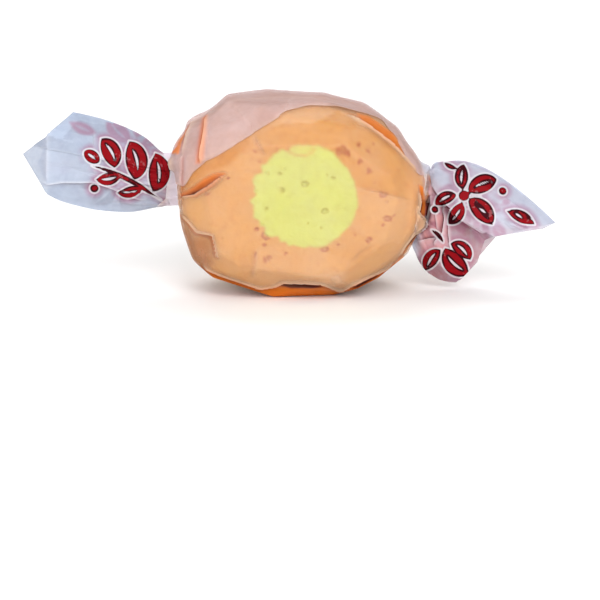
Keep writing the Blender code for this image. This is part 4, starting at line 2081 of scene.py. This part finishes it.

# Flat patches between the folded edges, in the order in which they are laid.
# A patch's tone is partly painted shade of a facet turned from the light; its hollow is painted
# shade, and its deep orange partly painted bounce light.
PATCHES = (
    Patch(((-5.9, 6.8), (-2.5, 8.3), (1.1, 8.3), (4.1, 9.8), (6.9, 8.1), (9.4, 6.8), (11.8, 4.0),
           (13.4, 1.9), (12.6, -0.9), (5.0, 0.9), (2.0, 4.0), (-4.6, 4.4)), 0.6, 0.05),
    Patch(((1.6, 7.2), (1.1, 8.3), (4.1, 9.7), (6.9, 8.1), (5.6, 7.0)), 1.0),
    Patch(((-4.4, 8.1), (-2.5, 8.3), (1.1, 8.3), (4.1, 9.8), (1.1, 10.3), (-1.2, 10.0)), -0.65),
    Patch(((-12.0, 3.3), (-6.1, 7.1), (-5.9, 6.8), (-4.6, 4.4), (-5.6, 2.4), (-9.3, 2.3),
           (-10.8, 2.3)), -0.25, 0.05),
    Patch(((-12.5, -0.2), (-9.3, 2.2), (-5.6, 2.4), (-6.6, -3.2), (-10.7, -4.8), (-12.7, -4.5),
           (-14.6, -2.2)), 0.0),
    Patch(((5.0, 0.9), (12.6, -0.9), (13.6, -3.2), (12.9, -5.0), (8.0, -6.1), (5.2, -3.6)), -0.4),
    Patch(((8.0, -6.1), (12.9, -5.0), (9.8, -9.0), (4.4, -11.7), (5.6, -8.2)), -0.1),
    Patch(((-10.1, -7.4), (-5.8, -6.8), (-6.1, -10.2), (-5.2, -11.3), (-11.4, -9.1)), 0.25),
    # A paler band above the bottom edge: painted light on paper that faces down.
    Patch(((-5.8, -6.8), (-1.2, -5.6), (5.6, -8.2), (4.4, -11.7), (-3.5, -11.1), (-6.1, -10.2)),
          -0.60),
    # The lens at the upper right: deep orange where the paper clings, partly painted bounce light.
    Patch(((6.2, 9.5), (9.2, 8.8), (10.3, 7.8), (11.3, 6.0), (12.0, 4.5), (10.5, 5.7), (8.4, 7.4),
           (6.9, 8.5)), 1.0, ember=0.75, edge=0.25, reach=-2.0),
    # The pocket at the left neck and the slope above it: deep orange and painted shade, darkest at
    # its lower lip.
    Patch(((-14.8, 0.6), (-13.7, 2.3), (-12.3, 3.4), (-10.1, 4.8), (-6.6, 6.7), (-6.4, 5.6),
           (-9.4, 3.0), (-11.4, 2.2), (-13.0, 1.2), (-14.8, -0.2)), 0.75, ember=0.12, edge=0.5,
          dusk=0.15, glint=0.0),
    Patch(((-14.6, -0.2), (-13.1, 0.7), (-12.0, 1.6), (-10.8, 2.2), (-9.4, 2.4), (-10.6, 1.5),
           (-12.4, 0.3)), 1.0, 0.05, 0.25, 0.75, 0.16),
    Patch(((-14.7, -0.35), (-13.3, 0.45), (-12.2, 1.25), (-10.9, 1.95), (-9.3, 2.4), (-11.1, 0.75),
           (-12.9, -0.45)), 1.0, 0.08, 0.82, 1.0, 0.22),
    Patch(((-14.6, -0.3), (-13.3, 0.15), (-12.0, 0.55), (-10.7, 1.2), (-10.0, 1.6), (-10.7, 0.8),
           (-12.0, 0.05), (-13.1, -0.35), (-14.3, -0.5)), 1.0, 0.0, 0.95, edge=0.12, glint=0.0),
    # The slits at the upper left: deep orange, partly painted bounce light, with painted shade.
    Patch(((-15.8, 4.6), (-14.6, 8.6), (-13.2, 9.4), (-13.7, 8.2), (-14.6, 5.9), (-14.9, 4.6)), 1.0,
          hollow=0.24, ember=0.85, edge=0.12, layer=Layer.LAP, reach=1.8),
    Patch(((-12.9, 3.4), (-12.6, 5.4), (-12.1, 8.9), (-11.5, 9.4), (-11.7, 7.0), (-12.1, 3.5)),
          1.0, hollow=0.1, ember=0.65, edge=0.3, glint=0.0, layer=Layer.LAP),
    # Painted shade on the lower left side, below the zigzag fold.
    Patch(((-15.5, -2.8), (-14.0, -4.0), (-13.0, -5.2), (-11.3, -5.5), (-11.0, -6.6), (-10.9, -8.4),
           (-12.0, -9.8), (-17.0, -9.8), (-17.0, -2.8)), 0.6, edge=0.8, glint=0.0, dusk=0.75,
          reach=5.0),
    # Painted shadow in the gaps under the bottom edge.
    Patch(((-3.2, -11.2), (-2.6, -10.8), (-0.5, -10.75), (1.6, -10.9), (2.6, -11.3),
           (1.0, -11.5), (-1.5, -11.55)), 1.0, hollow=1.0, edge=0.10, glint=0.0, reach=9.0),
    Patch(((4.9, -11.7), (7.0, -10.5), (9.9, -9.3), (8.6, -10.2), (6.4, -11.4)), 1.0, hollow=1.0,
          edge=0.16, glint=0.0, reach=9.0),
    # The orange slit at the right neck, partly painted bounce light, and the painted shadow beside
    # it.
    Patch(((13.7, 0.9), (14.2, 0.7), (14.5, -1.6), (14.4, -3.2), (13.8, -2.3), (14.0, -1.4)), 1.0,
          hollow=0.2, ember=0.9, edge=0.15, layer=Layer.TWIST, glint=0.0),
    Patch(((14.3, -0.7), (14.8, -0.6), (15.2, -1.4), (15.3, -2.4), (15.0, -3.9), (14.3, -3.2),
           (14.4, -1.8)), 1.0, hollow=1.0, edge=0.2, layer=Layer.TWIST, glint=0.0),
    Patch(((13.2, 4.4), (14.6, 3.1), (15.2, 1.5), (15.0, -0.1), (14.3, 0.1), (14.1, 1.2),
           (13.7, 2.6)), 0.1, edge=0.2, glint=0.0, layer=Layer.TWIST, calm=0.9),
    Patch(((-11.5, 9.4), (-8.8, 10.6), (-6.4, 8.2), (-9.6, 5.4), (-12.0, 4.0)), -0.5,
          layer=Layer.LAP),
    Patch(((-8.6, 11.0), (-1.5, 11.4), (-4.2, 8.0), (-6.4, 8.2)), 0.7, layer=Layer.LAP),
    Patch(((-1.5, 11.4), (5.0, 11.2), (1.2, 10.2), (-4.2, 8.0)), -0.4, layer=Layer.LAP),
    # Painted shade and bounce light on the underside below the bottom edge.
    Patch(((-11.6, -9.2), (-8.9, -10.4), (-5.2, -11.5), (-3.5, -11.3), (-2.4, -10.95),
           (2.0, -11.1), (4.4, -11.95), (6.5, -10.8), (9.9, -9.3), (11.8, -7.6), (13.0, -9.0),
           (9.0, -12.6), (0.0, -14.0), (-9.0, -13.0)), 1.0, hollow=0.08, ember=0.9, edge=0.3,
          glint=0.0, reach=9.0),
    # Painted shade on the left tip, which is folded back from the light.
    Patch(((-30.7, 7.4), (-30.7, 1.4), (-31.4, 0.6), (-34.5, 4.0), (-33.0, 6.5)), 1.0,
          layer=Layer.TWIST),
    Patch(((-31.4, 1.0), (-28.9, 1.45), (-25.0, 1.45), (-22.6, 0.65), (-17.8, -1.6),
           (-20.0, -3.5), (-28.0, -3.5)), -0.1, layer=Layer.TWIST, glint=0.0),
    # Painted shade on the right lower lobe; the gathers above it get a lighter tone.
    Patch(((14.0, 1.0), (16.8, -1.2), (18.3, -2.8), (22.6, -5.3), (20.5, -12.0), (12.0, -12.0),
           (12.5, -6.5)), 0.9, layer=Layer.TWIST, glint=0.0),
    Patch(((14.3, 1.4), (16.6, -0.8), (17.4, -2.3), (17.3, -6.4), (13.2, -7.8), (12.4, -6.2)), -0.7,
          edge=0.5, layer=Layer.TWIST, glint=0.0),
    Patch(((-5.9, 6.8), (1.0, 8.6), (4.6, 4.4), (-2.0, 3.2)), 0.6, face=Face.BACK),
    Patch(((-12.5, -1.0), (-6.0, 2.0), (-5.5, -4.0), (-11.0, -5.0)), -0.5, face=Face.BACK),
    Patch(((5.0, 1.0), (12.4, 0.4), (12.6, -4.8), (6.2, -5.6)), 0.4, face=Face.BACK),
)

# Outlines at the right neck: the flap below it, the strap over it and the strap's upper end.
FLAP = (
    (12.6, -1.6), (13.7, -1.6), (13.5, -2.4), (14.8, -3.9), (13.2, -4.9), (12.0, -6.4),
    (10.9, -8.2), (10.0, -8.0), (11.8, -4.0),
)

STRAP = (
    (13.3, 4.3), (14.5, 3.1), (15.1, 1.5), (15.0, 0.0), (14.3, 0.2), (14.1, 1.2), (13.7, 2.6),
)

HEAD = ((13.6, 4.4), (14.2, 2.9), (14.5, 2.2), (15.6, 2.2), (15.6, 4.4))

# Folds of the twists, in millimetres from the candy's middle.
LEFT_FOLDS = (
    Fold(0, (-23.5, -2.7, 2.6), (-33.4, -0.9, 4.6)),
    Fold(9, (-21.0, -2.3, 6.6), (-29.6, -0.9, 7.7)),
    Fold(15, (-20.0, 0.0, 8.1), (-27.4, 0.6, 9.5)),
    Fold(22, (-21.2, 2.6, 6.0), (-30.2, 1.7, 7.0)),
    Fold(30, (-23.2, 3.0, 3.0), (-31.8, 1.3, 3.2)),
    Fold(38, (-22.0, 2.5, 0.0), (-30.6, 1.5, 0.5)),
    Fold(45, (-25.0, 0.0, -3.2), (-30.6, 0.2, -0.3)),
    Fold(52, (-23.5, -2.6, 3.0), (-31.3, -1.1, 1.3)),
)
RIGHT_FOLDS = (
    Fold(0, (16.4, -2.7, -5.0), (20.6, -2.2, -8.0)),
    Fold(5, (17.6, -1.7, -2.4), (21.5, -1.6, -5.5)),
    Fold(8, (17.3, -3.9, -1.6), (22.4, -3.4, -4.7)),
    Fold(12, (21.2, -2.6, 3.2), (28.4, -1.9, -4.0)),
    Fold(16, (18.4, 0.0, 7.6), (29.9, 0.0, -3.7)),
    Fold(21, (20.4, 2.5, 3.0), (27.6, 1.0, -4.4)),
    Fold(30, (18.0, 2.7, -2.4), (23.0, 1.6, -5.7)),
    Fold(39, (15.8, 2.0, -7.6), (19.9, 1.2, -9.3)),
    Fold(46, (14.0, -0.6, -10.6), (18.1, -0.9, -10.7)),
    Fold(53, (14.8, -2.7, -8.4), (18.8, -1.9, -10.0)),
)


def leaf(along: float, across: float, heading: float, length: float, bend: float,
         width: float) -> tuple[Stroke, Stroke]:
    """A printed leaf with a bare vein.

    Args:
        along: The place of its stalk along the motif.
        across: The place across.
        heading: The way it grows, in degrees.
        length: Its length.
        bend: How far it bends, in degrees.
        width: Its width.

    Returns:
        The leaf and its vein.
    """
    turn = math.radians(heading)
    start = 0.24 * length
    vein = Stroke(
        along + start * math.cos(turn), across + start * math.sin(turn),
        heading + 0.3 * bend, 0.56 * length, 0.6 * bend, 0.30, cut=True,
    )
    return Stroke(along, across, heading, length, bend, width, point=1.1), vein


SPRAY = (
    Stroke(-0.2, 2.0, -32, 9.4, 26, 0.62),
    *leaf(1.0, 1.0, -116, 4.9, 62, 2.55),
    *leaf(3.4, -0.1, -104, 4.9, 60, 2.65),
    *leaf(5.9, -1.2, -84, 4.0, 54, 2.25),
    *leaf(7.8, -1.6, -34, 2.2, 10, 1.50),
    *leaf(2.3, 0.5, 46, 3.2, -42, 1.50),
    *leaf(5.0, -0.7, 44, 3.2, -46, 1.50),
    Stroke(1.0, 4.6, 4, 3.6, 50, 0.60),
    Stroke(-0.5, -1.0, -96, 2.6, 60, 0.55),
    Stroke(7.7, 1.7, 0, 0.4, 0, 0.95),
    Stroke(0.4, -5.2, 0, 0.4, 0, 0.85),
)
BLOSSOM = (
    *leaf(4.0, 0.6, 66, 4.0, -34, 2.30),
    *leaf(3.3, 0.6, 134, 3.3, -40, 1.70),
    *leaf(4.3, -0.2, -4, 4.6, -34, 2.40),
    *leaf(3.8, -0.9, -76, 3.3, -40, 1.75),
    *leaf(2.9, -0.4, -154, 3.1, 50, 1.60),
    Stroke(3.5, -0.05, 0, 0.4, 0, 1.30),
    *leaf(9.3, 0.6, 8, 4.0, -16, 1.50),
    Stroke(-0.3, 2.6, -14, 1.7, 30, 0.60),
    Stroke(7.6, 2.6, 0, 0.4, 0, 0.95),
    Stroke(1.0, -3.2, 0, 0.4, 0, 0.85),
)
LEAVES = (
    *leaf(0.0, 0.0, -36, 4.6, 50, 2.60),
    *leaf(0.2, 0.8, 26, 3.4, -60, 1.85),
    *leaf(-0.3, -0.5, -112, 3.4, 44, 1.80),
    Stroke(-0.6, 0.4, 150, 2.2, 40, 0.50),
)
PRINT = (
    Motif(SPRAY, -16.9, 0.9, 172.0, 1.0),
    Motif(BLOSSOM, 15.9, 1.2, -26.0, 0.95),
    Motif(LEAVES, 16.8, -6.6, -36.0, 0.95),
    Motif(SPRAY, 16.9, 1.4, 8.0, 1.0, Face.BACK),
    Motif(BLOSSOM, -15.8, 0.2, 202.0, 0.95, Face.BACK),
)
GHOST = (
    Motif(BLOSSOM, -17.2, 4.6, 158.0, 0.85),
    Motif(SPRAY, 17.0, 0.6, -26.0, 0.9),
    Motif(BLOSSOM, 16.6, 3.0, -6.0, 1.1, Face.BACK),
    Motif(SPRAY, -16.0, -1.0, 190.0, 1.1, Face.BACK),
)


@dataclass
class Studio:
    """A pale floor, soft lights and a camera at the height of the photographed view."""

    rise: float
    lens: float = 180.0
    sensor: float = 36.0
    distance: float = VIEW_DISTANCE
    aim: tuple = VIEW_AIM

    def floor(self) -> None:
        """Lays a wide pale floor."""
        clear_selection()
        bpy.ops.mesh.primitive_plane_add(size=6)
        made = bpy.context.object
        made.name = "floor"
        board = Board("pale_floor")
        shade = board.ramp(board.noise(14, 2), 0.3, 0.7)
        colour = board.mix(shade, (0.86, 0.86, 0.86), (0.89, 0.89, 0.89))
        shader = board.node("ShaderNodeBsdfPrincipled", Base_Color=colour, Roughness=0.75)
        made.data.materials.append(board.finish(shader.outputs[0]))

    def lamp(self, name: str, place: tuple, size: float, power: float) -> None:
        """A soft square light that faces the sweet.

        Args:
            name: The light's name.
            place: Its place, in metres.
            size: Its width, in metres.
            power: Its power, in watts.
        """
        data = bpy.data.lights.new(name, "AREA")
        data.size = size
        data.energy = power
        made = bpy.data.objects.new(name, data)
        bpy.context.scene.collection.objects.link(made)
        made.location = place
        aim = Vector((0, 0, self.rise * METRES)) - Vector(place)
        made.rotation_euler = aim.to_track_quat("-Z", "Y").to_euler()

    def camera(self) -> None:
        """A long lens, aimed below the sweet so that it stands high in the picture."""
        right = Vector((1, 0, 0))
        up = Vector((0, math.sin(VIEW_RISE), math.cos(VIEW_RISE)))
        ahead = Vector((0, math.cos(VIEW_RISE), -math.sin(VIEW_RISE)))
        aim = Vector((0, 0, self.rise)) + right * self.aim[0] + up * self.aim[1]
        data = bpy.data.cameras.new("camera")
        data.lens = self.lens
        data.sensor_width = self.sensor
        data.clip_start = 0.01
        made = bpy.data.objects.new("camera", data)
        bpy.context.scene.collection.objects.link(made)
        made.location = (aim - ahead * self.distance) * METRES
        made.rotation_euler = ahead.to_track_quat("-Z", "Y").to_euler()
        bpy.context.scene.camera = made

    def build(self) -> None:
        """Sets up the floor, the lights, the sky and the camera."""
        self.floor()
        self.lamp("key", (0.22, -0.68, 0.50), 0.50, 5.5)
        self.lamp("low", (0.10, -0.75, 0.07), 0.40, 0.8)
        self.lamp("fill", (-0.60, -0.50, 0.30), 0.60, 2.8)
        self.lamp("back", (-0.10, 0.60, 0.70), 0.60, 4.0)
        world = bpy.data.worlds.new("soft_sky")
        world.use_nodes = True
        sky = world.node_tree.nodes["Background"]
        sky.inputs["Color"].default_value = (1.0, 1.0, 1.0, 1)
        sky.inputs["Strength"].default_value = 0.60
        bpy.context.scene.world = world
        bpy.context.scene.view_settings.view_transform = "Standard"
        self.camera()


def main() -> None:
    """Builds the sweet and its studio, and notes the sizes."""
    logging.basicConfig(level=logging.INFO, format="%(name)s: %(message)s")
    form = CandyForm.from_frame()
    paper = PaperForm(TightHull(form))
    centre = CentreForm()
    Candy(form, centre, paper).build()
    Wrapper(paper, centre, form.rise).build()
    Studio(form.rise).build()


if __name__ == "__main__":
    main()
